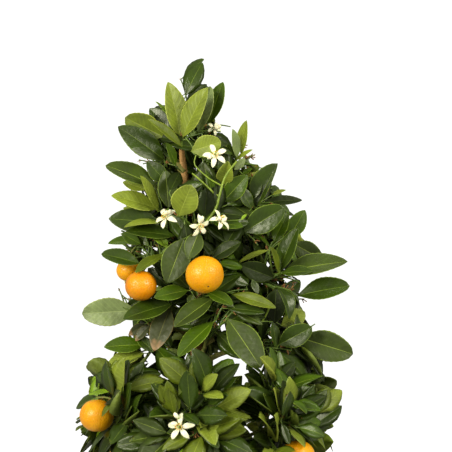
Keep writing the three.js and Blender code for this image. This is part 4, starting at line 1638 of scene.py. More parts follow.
class FrontView:
    """What shows from the front: what must stay in view, and where the sky shows."""

    eye = Vector((22, -2200, 529))

    def __init__(self) -> None:
        """Starts with nothing to keep in view."""
        self.kept: list[tuple[float, float, float]] = []

    def flat(self, p: Vector) -> Pair:
        """Returns where a point shows on the upright plane through the trunk."""
        scale = -self.eye.y / (p.y - self.eye.y)
        return mix(self.eye.x, p.x, scale), mix(self.eye.z, p.z, scale)

    @classmethod
    def placed(cls, x: float, z: float, depth: float) -> Vector:
        """Returns the point at a depth that shows at (x, z) of the plane through the trunk."""
        share = (depth - cls.eye.y) / -cls.eye.y
        return Vector((mix(cls.eye.x, x, share), depth, mix(cls.eye.z, z, share)))

    def keep(self, points: Iterable[Vector]) -> None:
        """Notes points that nothing may come in front of."""
        self.kept += [(*self.flat(p), p.y) for p in points]

    @staticmethod
    def inside(rim: Sequence[Pair], x: float, z: float) -> bool:
        """Says whether a place is inside an outline.

        Args:
            rim: the outline.
            x: how far right it is.
            z: how high it is.

        Returns:
            Whether it is inside.
        """
        odd = False
        for (ax, az), (bx, bz) in zip(rim, [*rim[1:], rim[0]]):
            if (az > z) != (bz > z) and x < (bx - ax) * (z - az) / (bz - az) + ax:
                odd = not odd
        return odd

    def allows(self, leaf: Leaf) -> bool:
        """Says whether a filling leaf hides nothing and leaves the sky open.

        Args:
            leaf: the leaf.

        Returns:
            Whether it may stay.
        """
        rim = [self.flat(p) for p in leaf.outline()]
        for x, z in rim:
            _, left, right = between(FILLED, 0, z)
            if z > FILLED[0][0] and not left <= x <= right:
                return False
        flat = [Vector((x, z, 0)) for x, z in rim]
        for x, z, radius in SKY_GAPS:
            gap = Vector((x, z, 0))
            edges = zip(flat, [*flat[1:], flat[0]])
            cut = any((nearest_on(a, b, gap) - gap).length < radius for a, b in edges)
            if cut or self.inside(rim, x, z):
                return False
        (left, right), (low, high) = ((min(side), max(side)) for side in zip(*rim))
        depth = max(p.y for p in leaf.outline())
        covered = sum(
            1 for x, z, y in self.kept
            if left < x < right and low < z < high and depth < y + 4 and self.inside(rim, x, z)
        )
        return covered <= 1


class Room:
    """Keeps leaves from passing through one another, the fruit, the blossom and the twigs."""

    cell = 40.0
    spare = 1.0
    blossom = 8.5

    def __init__(self, growth: Growth) -> None:
        """Notes the wood, the fruit and the blossom.

        Args:
            growth: the tree.
        """
        self.cells: dict[tuple[int, ...], list[BVHTree]] = {}
        self.fruit = [(Vector(f[:3]), f[3] + self.spare) for f in growth.fruit]
        self.fruit += [(place, self.blossom) for place in growth.flowers]
        points: list[Vector] = []
        faces: list[tuple[int, int, int]] = []
        for line in growth.lines:
            side = square_to((line.b - line.a).normalized(), UP) * 0.8
            start = len(points)
            points += [line.a, line.b, line.b + side]
            faces.append((start, start + 1, start + 2))
        self.wood = BVHTree.FromPolygons(points, faces)

    def at(self, p: Vector) -> tuple[int, ...]:
        """Returns the cell that a point is in."""
        return tuple(math.floor(x / self.cell) for x in p)

    @staticmethod
    def shape(leaf: Leaf) -> BVHTree:
        """Returns a leaf's faces as a search tree.

        Args:
            leaf: the leaf.

        Returns:
            The search tree.
        """
        rim = leaf.outline()
        ridge = leaf.point(0.45, 0)
        faces = [(k, (k + 1) % 6, 6) for k in range(6)]
        return BVHTree.FromPolygons([*rim, ridge], faces)

    def holds(self, leaf: Leaf) -> bool:
        """Adds a leaf if it has room, and says whether it has.

        Args:
            leaf: the leaf.

        Returns:
            Whether it has room.
        """
        shape = self.shape(leaf)
        for centre, radius in self.fruit:
            if (leaf.point(0.5, 0) - centre).length > radius + leaf.length:
                continue
            found = shape.find_nearest(centre, radius)
            if found[0] is not None:
                return False
        here = self.at(leaf.point(0.5, 0))
        spans = [range(h - 1, h + 2) for h in here]
        cells = ((i, j, k) for i in spans[0] for j in spans[1] for k in spans[2])
        if any(shape.overlap(other) for cell in cells for other in self.cells.get(cell, ())):
            return False
        if shape.overlap(self.wood):
            return False
        self.add(leaf, shape)
        return True

    def add(self, leaf: Leaf, shape: BVHTree | None = None) -> None:
        """Adds a leaf without asking."""
        self.cells.setdefault(self.at(leaf.point(0.5, 0)), []).append(shape or self.shape(leaf))


class LeafGrower:
    """Grows the leaves: those listed first, then those of the twigs and finer shoots."""

    # What is tried for a listed leaf: [degrees that it leans more, how much nearer it comes].
    nudges = ((0, 0), (0, 3), (0, -3), (8, 0), (-8, 0), (6, 6), (-6, -6), (0, 9), (14, 0), (12, 12))

    def __init__(self, growth: Growth) -> None:
        """Grows every leaf.

        Args:
            growth: the tree's limbs and twigs.
        """
        self.growth = growth
        self.room = Room(growth)
        self.view = FrontView()
        self.leaves: list[Leaf] = []
        self.keep_fruit_in_view()
        for mass in growth.masses:
            for twig in mass.twigs:
                self.set_by_hand(twig)
        for mass in growth.masses:
            for s, twig in enumerate(mass.twigs):
                last = max(RULE.twig_leaves, len(twig.leaves) + 3)
                for k in range(len(twig.leaves), last):
                    self.grow(mass, twig, (mass.index, s, k))
        for mass in growth.masses:
            for shoot in mass.shoots:
                for k in range(RULE.twig_leaves):
                    self.grow(mass, shoot, (mass.index, shoot.key, k))

    def keep_fruit_in_view(self) -> None:
        """Keeps in view the fruit, blossom and young stems at the front, and a piece of the trunk."""
        self.view.keep(trunk_at(z) for z in range(566, 608, 4))
        for (depth, _), places in YOUNG_STEMS:
            self.view.keep(smooth_path([FrontView.placed(x, z, depth) for x, z in places], 3))
        for x, y, z, radius in self.growth.fruit:
            turns = [math.tau * k / 8 for k in range(8)]
            rings = [radius * share for share in (0.45, 0.9)]
            spots = [(r * math.cos(t), r * math.sin(t)) for t in turns for r in rings]
            if y < 0:
                self.view.keep(Vector((x + a, y, z + b)) for a, b in spots)
        for place in self.growth.flowers:
            if place.y < 10:
                shifts = ((0, 0), (9, 0), (-9, 0), (0, 9), (0, -9))
                self.view.keep(place + Vector((a, 0, b)) for a, b in shifts)

    def set_by_hand(self, twig: Twig) -> None:
        """Adds the leaves that a spray gives, moved a little in depth where they have no room.

        Args:
            twig: the twig that the spray grows on.
        """
        for sheet in twig.leaves:
            tries = [key_leaf(twig, sheet, lean, near) for lean, near in self.nudges]
            leaf = next((one for one in tries if self.room.holds(one)), None)
            if leaf is None:
                leaf = tries[0]
                self.room.add(leaf)
            self.leaves.append(leaf)
            spots = [(u, v) for u in (0.15, 0.35, 0.6, 0.92) for v in (-0.5, 0, 0.5)]
            self.view.keep(leaf.point(u, v) for u, v in spots)

    def grow(self, mass: Mass, twig: Twig, keys: tuple[int, int, int]) -> None:
        """Adds the leaf at one place on a twig, where one of its tries has room.

        Args:
            mass: the mass.
            twig: the twig.
            keys: the mass's number, the twig's number and the leaf's place on it.
        """
        for attempt in range(RULE.tries):
            leaf = rule_leaf(mass, twig, keys, attempt)
            tip = leaf.point(1, 0)
            ahead = mass.plan.in_front and tip.y < twig.end.y - 6
            if ahead or not in_crown(tip, 1) or not self.view.allows(leaf):
                continue
            if self.room.holds(leaf):
                self.leaves.append(leaf)
                return


def key_leaf(twig: Twig, sheet: Leaflet, lean: float = 0, near: float = 0) -> Leaf:
    """Returns a listed leaf, as wide as it shows, its upper side turned to the viewer.

    Args:
        twig: the twig that it grows on.
        sheet: where it shows.
        lean: how many degrees more it leans to the viewer.
        near: how much nearer to the viewer it is.

    Returns:
        The leaf.
    """
    depth = twig.end.y - sheet.near - near
    shown = math.hypot(sheet.tip_x - sheet.x, sheet.tip_z - sheet.z)
    base = FrontView.placed(sheet.x, sheet.z, depth)
    ahead = shown * math.tan(math.radians(sheet.lean + lean))
    tip = FrontView.placed(sheet.tip_x, sheet.tip_z, depth - ahead)
    length, along = (tip - base).length, (tip - base).normalized()
    facing = square_to(along, TO_VIEWER)
    rise = facing.cross(along)
    rise *= math.copysign(1, rise.z)
    share = min(1.0, sheet.wide / (sheet.breadth * length))
    normal = facing * share + rise * math.sqrt(1 - share * share)
    breadth = max(sheet.breadth, sheet.wide / length)
    feet = [nearest_on(a, b, base) for a, b in zip(twig.path, twig.path[1:])]
    foot = min(feet, key=lambda p: (p - base).length)
    return Leaf(foot, base, tip, normal.normalized(), breadth, sheet.tone, sheet.habit, True)


def rule_leaf(mass: Mass, twig: Twig, keys: tuple[int, int, int], attempt: int) -> Leaf:
    """Returns a leaf of a golden-angle spiral along a twig, its upper side to the light.

    Args:
        mass: the mass that the twig is in.
        twig: the twig or shoot.
        keys: the mass's number, the twig's number and the leaf's place on it.
        attempt: how many places were tried before.

    Returns:
        The leaf.
    """
    k, axis = keys[2], twig.axis
    turn = GOLDEN_ANGLE * k + math.tau * chance(keys[0], keys[1], 5) + attempt * RULE.try_turn
    side = turned(square_to(axis, UP), axis, turn)
    opened = mix(*RULE.leaf_open, k / RULE.twig_leaves) + 14 * (chance(*keys, 6) - 0.5) + 6 * attempt
    along = (leant(axis, side, math.radians(opened)) + mass.out * RULE.outwards).normalized()
    outward = (twig.end - trunk_at(twig.end.z - 20)).normalized()
    upper = UP * 0.5 + outward * 0.8 + axis * 0.3 + TO_VIEWER * (0.7 if mass.plan.in_front else 0)
    upper = turned(upper, along, math.radians(RULE.leaf_roll) * (chance(*keys, 13) - 0.5))
    length = RULE.leaf_length * mix(*RULE.length_play, chance(*keys, 8)) * (1 - 0.03 * attempt)
    if twig.girth == RULE.shoot:
        length *= mix(*RULE.shoot_play, chance(*keys, 12))
    foot = point_along(twig.path, 0.985 - 0.62 * k / RULE.twig_leaves)
    base = foot + along * (length * RULE.stalk)
    tip = foot + along * length - square_to(along, upper) * (RULE.bend * length)
    chord = tip - base
    normal = square_to(chord.normalized(), upper)
    breadth = RULE.leaf_breadth * length / chord.length * mix(*RULE.breadth_play, chance(*keys, 11))
    habit = HABITS[int(len(HABITS) * chance(*keys, 10))]
    return Leaf(foot, base, tip, normal, breadth, rule_tone(mass, twig, keys), habit)


def rule_tone(mass: Mass, twig: Twig, keys: tuple[int, int, int]) -> Tone:
    """Returns a leaf's tone: the darker tone of painted shade, most often within the crown, and each spray
    outside has one of its own.

    Args:
        mass: the mass.
        twig: the twig.
        keys: the mass's number, the twig's number and the leaf's place on it.

    Returns:
        The tone.
    """
    spray, single = chance(keys[0], keys[1], 21), chance(*keys, 22)
    inside = (twig.end - trunk_at(twig.end.z)).length < RULE.shaded
    # The darker tone is painted shade: it comes most often within the crown, then in the front masses.
    shade = 0.6 if inside else 0.4 if mass.plan.in_front else 0.12
    if single < shade:
        return Tone.DEEP
    if mass.plan.in_front:
        spray *= 0.76
    return next(tone for limit, tone in SPRAY_TONES if spray < limit)


# ---- trunk and boughs


@dataclass
class Wood:
    """The trunk and boughs, with their bark."""

    growth: Growth
    flare: float = 34.0
    flare_extra: float = 6.5
    sunk: float = 2.0
    trunk_sides: int = 40
    bough_sides: int = 16
    ring_step: float = 2.2
    trunk_relief: float = 0.42
    bough_relief: float = 0.2
    collar: float = 0.7
    most_collar: float = 0.9

    def bark_rings(
        self, path: Sequence[Vector], radii: Sequence[float], sides: int, relief: float,
        level: bool = False,
    ) -> list[list[Vector]]:
        """Returns the rings of a limb with ridges that run along it.

        Args:
            path: the limb's middle.
            radii: its radius at each point.
            sides: how many points a ring has.
            relief: how far the ridges stand out.
            level: whether the rings lie level.

        Returns:
            The rings.
        """
        rings, side, run = [], UP, 0.0
        for i, point in enumerate(path):
            ahead = path[min(i + 1, len(path) - 1)] - path[max(i - 1, 0)]
            axis = UP if level else ahead.normalized()
            side = square_to(axis, side if abs(axis.dot(side)) < 0.99 else RIGHT)
            run += ahead.length / 2
            ring = ring_at(point, axis, side, 1.0, sides)
            lifted = []
            for p in ring:
                way = p - point
                coarse = noise.noise(way * 2.4 + UP * (run * 0.045))
                fine = noise.noise(way * 7 + UP * (run * 0.11))
                knob = max(0.0, noise.noise(way * 3 + Vector((0, 9, run * 0.3))) - 0.35)
                ridge = relief * (1.3 * coarse + 0.9 * fine + 2.2 * knob)
                lifted.append(point + way * (radii[i] + ridge))
            rings.append(lifted)
        return rings

    def trunk_radius(self, height: float) -> float:
        """Returns the trunk's radius at a height, with its flare and the collars of its boughs.

        Args:
            height: the height.

        Returns:
            The radius.
        """
        bottom = TRUNK[0][2]
        low = max(0.0, 1 - max(0.0, height - bottom) / self.flare)
        collars = sum(
            self.collar * math.exp(-(((height - m.fork) / 5) ** 2))
            for m in self.growth.masses if m.bough
        )
        return between(TRUNK, 2, height)[3] + self.flare_extra * low * low + min(self.most_collar, collars)

    def build(self) -> None:
        """Builds the trunk and the boughs."""
        bark = BarkFinish("bark", (172, 132, 84), (140, 104, 62), (206, 176, 128), 0.35)
        young = BarkFinish("young_bark", (122, 116, 62), (92, 96, 44), (176, 160, 110), 0.2)
        points = [Vector(row[:3]) for row in TRUNK]
        path = smooth_path(points, self.ring_step)
        path.insert(0, path[0] - UP * self.sunk)
        radii = [self.trunk_radius(p.z) for p in path]
        trunk = Surface()
        trunk.add_rings(self.bark_rings(path, radii, self.trunk_sides, self.trunk_relief, True))
        show("trunk_bark", trunk.mesh("trunk_bark"), [bark.material()], ["trunk"])
        boughs = Surface()
        names = []
        for mass in (m for m in self.growth.masses if m.bough):
            path = smooth_path(mass.bough, self.ring_step)
            swell = [1.3 * math.exp(-((i * self.ring_step / 7) ** 2)) for i in range(len(path))]
            radii = [mix(*RULE.bough, i / (len(path) - 1)) + swell[i] for i in range(len(path))]
            boughs.add_rings(self.bark_rings(path, radii, self.bough_sides, self.bough_relief))
            names.append(f"bough_{mass.plan.name}")
        show("bough_bark", boughs.mesh("bough_bark"), [young.material()], names)


# ---- leaves, twigs and petioles


@dataclass(frozen=True)
class Blade:
    """A leaf's blade in units of its length, which its copies are scaled by."""

    bend: float = 0.1
    fold: float = 0.1
    arch: float = 0.02
    twist: float = 0.0
    wave: float = 0.0
    phase: float = 0.0
    fine: bool = False
    widest: float = 0.94
    base: float = 1.0
    full: float = 0.68
    rib: float = 0.028
    rim: float = 0.95
    thickness: float = 0.008
    tooth: float = 0.028
    least: float = 0.03
    rows: int = 7
    fine_rows: int = 22

    def half(self, u: float) -> float:
        """Returns the blade's half width at a share of its length, as a share of the widest.

        Args:
            u: the share of its length.

        Returns:
            The share, from 0 to 1.
        """
        if not 0 < u < 1:
            return self.least
        power = mix(self.base, self.full, u * u * (3 - 2 * u))
        return max(self.least, math.sin(math.pi * u**self.widest) ** power)

    def spot(self, u: float, v: float, lower: bool) -> Vector:
        """Returns a point of the blade: u along it, v across it from -1 to 1.

        Args:
            u: how far along it.
            v: how far across it.
            lower: whether it is on the underside.

        Returns:
            The point.
        """
        edge = abs(v)
        wide = self.half(u)
        rise = RULE.leaf_breadth * self.fold * edge * wide + self.bend * (u - u * u)
        rise += self.arch * math.sin(math.pi * min(1.0, edge)) * wide
        swing = math.tau * (2.1 * u + self.phase) + (0.8 if v > 0 else 0)
        rise += self.wave * edge * edge * math.sin(swing)
        if lower and edge < 1:
            rise -= self.thickness * (1.8 if edge < 0.2 else 1)
        turn = math.radians(self.twist) * (u - 0.4)
        across = v * wide
        return Vector((u, across * math.cos(turn), rise + across * RULE.leaf_breadth / 2 * math.sin(turn)))

    def mesh(self, name: str) -> Mesh:
        """Makes the blade as a thin closed form, with its rib and margins as parts of their own.

        Args:
            name: the mesh's name.

        Returns:
            The mesh.
        """
        surface = Surface()
        rings, spots = [], []
        count = self.fine_rows if self.fine else self.rows
        for i in range(count + 1):
            u = i / count if self.fine else 0.5 - 0.5 * math.cos(math.pi * i / count)
            rib = self.rib * (1 - 0.55 * u)
            rim = self.rim if 0.02 < u < 0.98 else 0.8
            tooth = 1 + (self.tooth if self.fine and i % 2 else 0)
            upper, lower = (-1, -0.5, -rib, rib, 0.5, 1), (0,)
            if self.fine:
                upper, lower = (-tooth, -rim, -0.5, -rib, rib, 0.5, rim, tooth), (0.5, rib, -rib, -0.5)
            rings.append([self.spot(u, v, False) for v in upper] + [self.spot(u, v, True) for v in lower])
            spots.append([(u, 0.5 + v / 2) for v in upper + lower])
        parts = [2, 0, 0, 1, 0, 0, 2, 3, 3, 1, 3, 3] if self.fine else [0, 0, 1, 0, 0, 3, 3]
        surface.add_rings(rings, parts, spots)
        return surface.mesh(name, scale=1.0)


@dataclass
class Foliage:
    """The leaves of every tone, each tone joined as a piece."""

    growth: Growth
    leaves: list[Leaf]

    def templates(self) -> Templates:
        """Makes the blades: the habits with few faces, then the same with fine edges.

        Returns:
            The blades.
        """
        habits = (
            {}, {"bend": 0.03, "fold": 0.5, "arch": 0.03, "full": 0.6},
            {"bend": 0.3, "fold": 0.06, "full": 0.75}, {"twist": 34.0, "widest": 0.86},
            {"twist": -34.0, "full": 0.85}, {"wave": 0.03, "bend": 0.06, "phase": 0.2},
            {"widest": 1.04, "full": 0.52, "fold": 0.14}, {"bend": 0.75, "fold": 0.2},
        )
        blades = [Blade(fine=fine, **habit) for fine in (False, True) for habit in habits]
        return Templates("blade", [b.mesh(f"blade_{i}") for i, b in enumerate(blades)])

    def build(self) -> None:
        """Builds the leaves."""
        templates = self.templates()
        for tone in Tone:
            placings = Placings()
            for leaf in (one for one in self.leaves if one.tone is tone):
                half = leaf.length * leaf.breadth / 2
                shape = leaf.habit.value + (len(Habit) if leaf.by_hand else 0)
                placings.add(leaf.base, leaf.along, leaf.normal, (leaf.length, half, leaf.length), shape)
            finishes = LEAF_FINISHES[tone].materials(tone.value)
            placings.show(f"leaves_{tone.value}", templates, finishes, self.growth.nodes)
        templates.remove()


@dataclass
class Stems:
    """The masses' stems, twigs and finer shoots, and the leaves' stalks."""

    growth: Growth
    leaves: list[Leaf]

    def build(self) -> None:
        """Builds the stems, twigs and stalks."""
        stems, twigs, stalks, young = Shoots(), Shoots(), Shoots(), Shoots()
        for mass in self.growth.masses:
            stems.add(smooth_path(mass.stem, 4), RULE.stem)
            for twig in mass.twigs + mass.shoots:
                twigs.add(twig.path, twig.girth)
        for leaf in self.leaves:
            end = leaf.base + leaf.along * (leaf.length * 0.02)
            middle = leaf.foot.lerp(leaf.base, 0.6) - leaf.normal * 0.4
            stalks.add([leaf.foot, middle, end], RULE.petiole)
        for (depth, girth), places in YOUNG_STEMS:
            line = [FrontView.placed(x, z, depth) for x, z in places]
            young.add(smooth_path(line, 3), (girth, 0.7 * girth))
        woody = BarkFinish("stem_bark", (104, 108, 48), (78, 90, 34), (160, 150, 92), 0.15)
        stems.show("stems", 10, woody, self.growth.nodes, "bark")
        green = PlainFinish("young_twig", (84, 106, 34), (66, 90, 28), 0.45, patch=120.0)
        twigs.show("twigs", 7, green, self.growth.nodes)
        pale = PlainFinish("leaf_stalk", (98, 120, 40), (82, 104, 34), 0.45)
        stalks.show("leaf_stalks", 5, pale, self.growth.nodes)
        fresh = PlainFinish("fresh_stem", (126, 146, 42), (102, 124, 36), 0.42)
        young.show("young_stems", 8, fresh, ["front_heart", "right"])


# ---- fruit and blossom


@dataclass
class Fruits:
    """The oranges with their stalks and green stars."""

    growth: Growth
    sides: int = 64
    rows: int = 40
    flat: float = 0.94
    dimple: float = 0.055
    crease: float = 0.012
    segments: int = 9
    star_points: int = 5
    front_way: Row = (0.21, -0.72, -0.66)

    def globe(self, surface: Surface, centre: Vector, radius: float, down: Vector, part: int) -> None:
        """Adds one orange, a little flattened, dimpled where its stalk is.

        Args:
            surface: what it is added to.
            centre: its middle.
            radius: its radius.
            down: the way from its stalk to its far end.
            part: its peel.
        """
        side = square_to(down, RIGHT)

        def ring(angle: float) -> list[Vector]:
            """Works out a ring of the peel.

            Args:
                angle: its angle from the stalk.

            Returns:
                The ring's points.
            """
            top = self.dimple * math.exp(-((angle / 0.34) ** 2))
            end = 0.03 * math.exp(-(((math.pi - angle) / 0.16) ** 2))
            points = []
            for p in ring_at(Vector(), down, side, 1.0, self.sides):
                turn = math.atan2(p.dot(down.cross(side)), p.dot(side))
                fade = math.exp(-((angle / 0.6) ** 2))
                crease = self.crease * fade * math.cos(self.segments * turn)
                swell = 0.012 * noise.noise(leant(down, p, angle) * 2.2 + centre)
                r = radius * (1 - top - end + crease + swell)
                points.append(centre + p * (r * math.sin(angle)) - down * (r * self.flat * math.cos(angle)))
            return points

        surface.add_rings(ovoid(self.rows, 0.012, ring), part)
        scar = ((lift * radius, r * radius) for lift, r in ((0.0, 0.055), (0.012, 0.05), (0.02, 0.02)))
        surface.lathe(centre + down * (radius * self.flat * 0.965), down, scar, 10, 3)

    def star(self, surface: Surface, centre: Vector, radius: float, down: Vector) -> None:
        """Adds the green star that is left of the blossom, at the orange's stalk.

        Args:
            surface: what it is added to.
            centre: the orange's middle.
            radius: the orange's radius.
            down: the way from its stalk to its far end.
        """
        side = square_to(down, RIGHT)
        base = centre - down * (radius * self.flat * 0.955)
        rings = []
        rows = ((-0.02, 0.26, 0.35), (0.035, 0.25, 0.35), (0.085, 0.11, 0), (0.15, 0.07, 0))
        for lift, scale, lobe in rows:
            middle = base - down * (radius * lift)
            points = ring_at(Vector(), down * -1, side, radius * scale, 20)
            turns = (math.tau * k / 20 for k in range(20))
            lobes = [1 + lobe * math.cos(self.star_points * turn) for turn in turns]
            rings.append([middle + p * wide for p, wide in zip(points, lobes)])
        surface.add_rings(rings, 2)

    def build(self) -> None:
        """Builds the oranges and their stalks."""
        surface, stalks, nodes = Surface(), Shoots(), []
        for mass in self.growth.masses:
            for number, (x, y, z, radius) in enumerate(mass.plan.fruit):
                centre = Vector((x, y, z))
                hung = (0.12 * math.sin(x), -0.25, -1)
                front = mass.plan.name == "front_low"
                down = Vector(self.front_way if front else hung).normalized()
                self.globe(surface, centre, radius, down, (mass.index + number + 1) % 2)
                self.star(surface, centre, radius, down)
                foot = mass.nearest(Vector((x, y, z + radius + 6)))
                end = centre - down * (radius * 1.03)
                stalks.add(smooth_path([foot, foot.lerp(end, 0.5) + UP * 1.5, end], 3), (0.9, 1.15))
                nodes.append(mass.plan.name)
        finishes = [
            PeelFinish("peel_gold", (222, 157, 9), (214, 143, 5)).material(),
            PeelFinish("peel_orange", (216, 140, 7), (202, 120, 4)).material(),
            PlainFinish("fruit_star", (104, 128, 52), (84, 108, 40), 0.6).material(),
            PlainFinish("fruit_scar", (92, 58, 28), (66, 42, 22), 0.7).material(),
        ]
        show("oranges", surface.mesh("oranges"), finishes, nodes)
        stalk = PlainFinish("fruit_stalk", (92, 112, 44), (112, 108, 58), 0.55)
        stalks.show("orange_stalks", 7, stalk, nodes)


@dataclass
class Blossom:
    """The open flowers and buds, with their stalks."""

    growth: Growth
    petals: int = 5
    petal_rows: int = 7
    petal_length: Pair = (0.82, 0.95)
    petal_curl: Pair = (0.12, 0.46)
    stamens: int = 14
    filament: float = 0.022
    anther: Pair = (0.065, 0.035)
    buds: int = 2
    bud_size: Pair = (6.0, 9.5)

    def petal(self, surface: Surface, turn: float, curl: float, length: float) -> None:
        """Adds one thick petal that arches out and curls back at its tip.

        Args:
            surface: what it is added to.
            turn: its direction in radians.
            curl: how far its tip curls back.
            length: its length.
        """
        out, across = level_way(turn), level_way(turn + math.pi / 2)
        rings = []
        for i in range(self.petal_rows + 1):
            t = i / self.petal_rows
            reach = 0.07 + length * t
            lift = 0.16 + 0.3 * math.sin(math.pi * 0.62 * t) - curl * t * t
            rounding = math.sqrt(1 - max(0.0, (t - 0.5) / 0.505) ** 2)
            wide = 0.205 * min(1.0, (t + 0.15) / 0.6) ** 0.8 * rounding
            thick, cup = 0.035 * (1 - 0.55 * t), 0.09 * wide
            middle = out * reach + UP * lift
            section = (
                (-1, cup / 0.3), (-0.55, cup + thick), (0, thick), (0.55, cup + thick), (1, cup / 0.3),
                (0.55, cup - thick), (0, -thick * 1.3), (-0.55, cup - thick),
            )
            rings.append([middle + across * (wide * v) + UP * w for v, w in section])
        surface.add_rings([ring[::-1] for ring in rings], 0)

    def stamen(self, surface: Surface, low: Vector, high: Vector) -> None:
        """Adds a filament between two points, with its anther.

        Args:
            surface: what it is added to.
            low: the filament's foot.
            high: its end.
        """
        axis = (high - low).normalized()
        side = square_to(axis, Vector((1, 0.2, 0)))
        middles = (low, low.lerp(high, 0.5), high)
        rings = [ring_at(p, axis, side, self.filament, 4) for p in middles]
        surface.add_rings(rings, 1)
        centre = high + axis * 0.04

        def ring(angle: float) -> list[Vector]:
            """Returns the anther's ring at an angle from its foot."""
            middle = centre - axis * (math.cos(angle) * self.anther[0])
            return ring_at(middle, axis, side, self.anther[1] * math.sin(angle), 6)

        surface.add_rings(ovoid(4, 0.06, ring), 2)

    def flower(self, number: int) -> Mesh:
        """Makes an open flower, one unit in radius, that faces its own +Z.

        Args:
            number: which flower it is.

        Returns:
            The mesh.
        """
        surface = Surface()
        for k in range(self.petals):
            turn = math.tau * (k + 0.22 * (chance(number, k, 51) - 0.5)) / self.petals
            curl = mix(*self.petal_curl, chance(number, k, 52))
            self.petal(surface, turn, curl, mix(*self.petal_length, chance(number, k, 53)))
        for k in range(self.stamens):
            out = level_way(math.tau * (k + 0.5 * chance(number, k, 54)) / self.stamens)
            wide, high = mix(0.14, 0.24, chance(number, k, 55)), mix(0.46, 0.6, chance(number, k, 56))
            self.stamen(surface, out * 0.07 + UP * 0.12, out * wide + UP * high)
        column = ((0.1, 0.07), (0.22, 0.08), (0.3, 0.035), (0.58, 0.03), (0.6, 0.07), (0.66, 0.05))
        surface.lathe(Vector(), UP, column, 8, 3)
        surface.lathe(Vector(), UP, ((-0.02, 0.04), (0.02, 0.12), (0.1, 0.16), (0.2, 0.15)), 10, 3)
        return surface.mesh(f"flower_{number}", scale=1.0)

    def bud(self, number: int) -> Mesh:
        """Makes a closed bud, one unit long, along its own +Z.

        Args:
            number: which bud it is.

        Returns:
            The mesh.
        """
        surface = Surface()
        body = ((0.1, 0.12), (0.25, 0.22), (0.5, 0.27), (0.75, 0.24), (0.92, 0.13), (0.99, 0.03))
        lobes = [1 + 0.06 * math.cos(math.tau * 5 * k / 15) for k in range(15)]
        rings = [[p * wide + UP * z for p, wide in zip(level_ring(0, r, 15), lobes)] for z, r in body]
        surface.add_rings(rings, 0)
        surface.lathe(Vector(), UP, ((0.0, 0.05), (0.04, 0.13), (0.14, 0.19), (0.2, 0.17)), 10, 3)
        return surface.mesh(f"bud_{number}", scale=1.0)

    def build(self) -> None:
        """Builds the flowers, buds and stalks."""
        templates = Templates("bloom", [self.flower(0), self.flower(1), self.flower(2), self.bud(3)])
        placings, stalks, nodes = Placings(), Shoots(), []
        for mass in self.growth.masses:
            for number, bloom in enumerate(mass.plan.flowers):
                centre, face = Vector(bloom.at), Vector(bloom.face).normalized()
                foot = mass.nearest(centre)
                side = square_to(face, leant(RIGHT, UP, math.radians(bloom.turn)))
                base = centre - face * (0.3 * bloom.size)
                placings.add(base, side, face, (bloom.size,) * 3, (mass.index + number) % 3)
                stalks.add(smooth_path([foot, foot.lerp(base, 0.5) + UP, base], 3), (0.8, 0.6))
                nodes.append(mass.plan.name)
                for k in range(self.buds):
                    keys = (mass.index, number, k)
                    turn = math.tau * chance(*keys, 59)
                    way = (face + turned(side, face, turn) * 0.9 + UP * 0.4).normalized()
                    start = foot.lerp(base, mix(0.5, 0.85, chance(*keys, 60)))
                    end = start + way * mix(5, 8, chance(*keys, 61))
                    stalks.add([start, start.lerp(end, 0.5), end], (0.55, 0.5))
                    size = mix(*self.bud_size, chance(*keys, 62))
                    placings.add(end, square_to(way, UP), way, (size,) * 3, 3)
        white = PlainFinish("petal", (242, 238, 222), (232, 229, 204), 0.5, 160.0, subsurface=0.1)
        finishes = [
            white.material(),
            PlainFinish("filament", (244, 242, 222), (232, 230, 200), 0.5).material(),
            PlainFinish("anther", (240, 196, 70), (222, 168, 44), 0.7).material(),
            PlainFinish("flower_cup", (160, 176, 76), (132, 152, 60), 0.55).material(),
        ]
        placings.show("blossom", templates, finishes, nodes)
        templates.remove()
        stalk = PlainFinish("flower_stalk", (118, 146, 60), (98, 126, 46), 0.5)
        stalks.show("blossom_stalks", 6, stalk, nodes)


@dataclass
class Spurs:
    """Small dry brown spurs, left where blossom has dropped."""

    growth: Growth
    kinds: int = 3
    tries: int = 2
    share: float = 0.45
    size: Pair = (3.2, 6.5)

    def spur(self, number: int) -> Mesh:
        """Makes a spur of three thin prongs, one unit long, along its own +Z.

        Args:
            number: which spur it is.

        Returns:
            The mesh.
        """
        surface = Surface()
        for k in range(3):
            out = level_way(math.tau * (k + 0.4 * chance(number, k, 71)) / 3)
            out *= mix(0.2, 0.55, chance(number, k, 72))
            tip = out + UP * mix(0.6, 1.0, chance(number, k, 73))
            axis = tip.normalized()
            side = square_to(axis, Vector((1, 0.3, 0)))
            prong = ((Vector(), 0.11), (tip * 0.5 + out * 0.1, 0.07), (tip * 0.94, 0.1), (tip, 0.02))
            surface.add_rings([ring_at(p, axis, side, r, 5) for p, r in prong])
        return surface.mesh(f"spur_{number}", scale=1.0)

    def build(self) -> None:
        """Builds the spurs."""
        templates = Templates("spur", [self.spur(k) for k in range(self.kinds)])
        placings = Placings()
        for mass in self.growth.masses:
            for s, twig in enumerate(mass.twigs + mass.shoots):
                for k in range(self.tries):
                    keys = (mass.index, s, k)
                    if chance(*keys, 74) > self.share:
                        continue
                    root = point_along(twig.path, mix(0.45, 1.0, chance(*keys, 75)))
                    side = turned(square_to(twig.axis, UP), twig.axis, math.tau * chance(*keys, 76))
                    way = (side + twig.axis * 0.6).normalized()
                    size = mix(*self.size, chance(*keys, 77))
                    kind = int(self.kinds * chance(*keys, 78))
                    placings.add(root, square_to(way, UP), way, (size,) * 3, kind)
        dry = PlainFinish("dry_spur", (156, 108, 62), (112, 72, 40), 0.7)
        placings.show("spurs", templates, [dry.material()], self.growth.nodes)
        templates.remove()


# ---- pot and soil


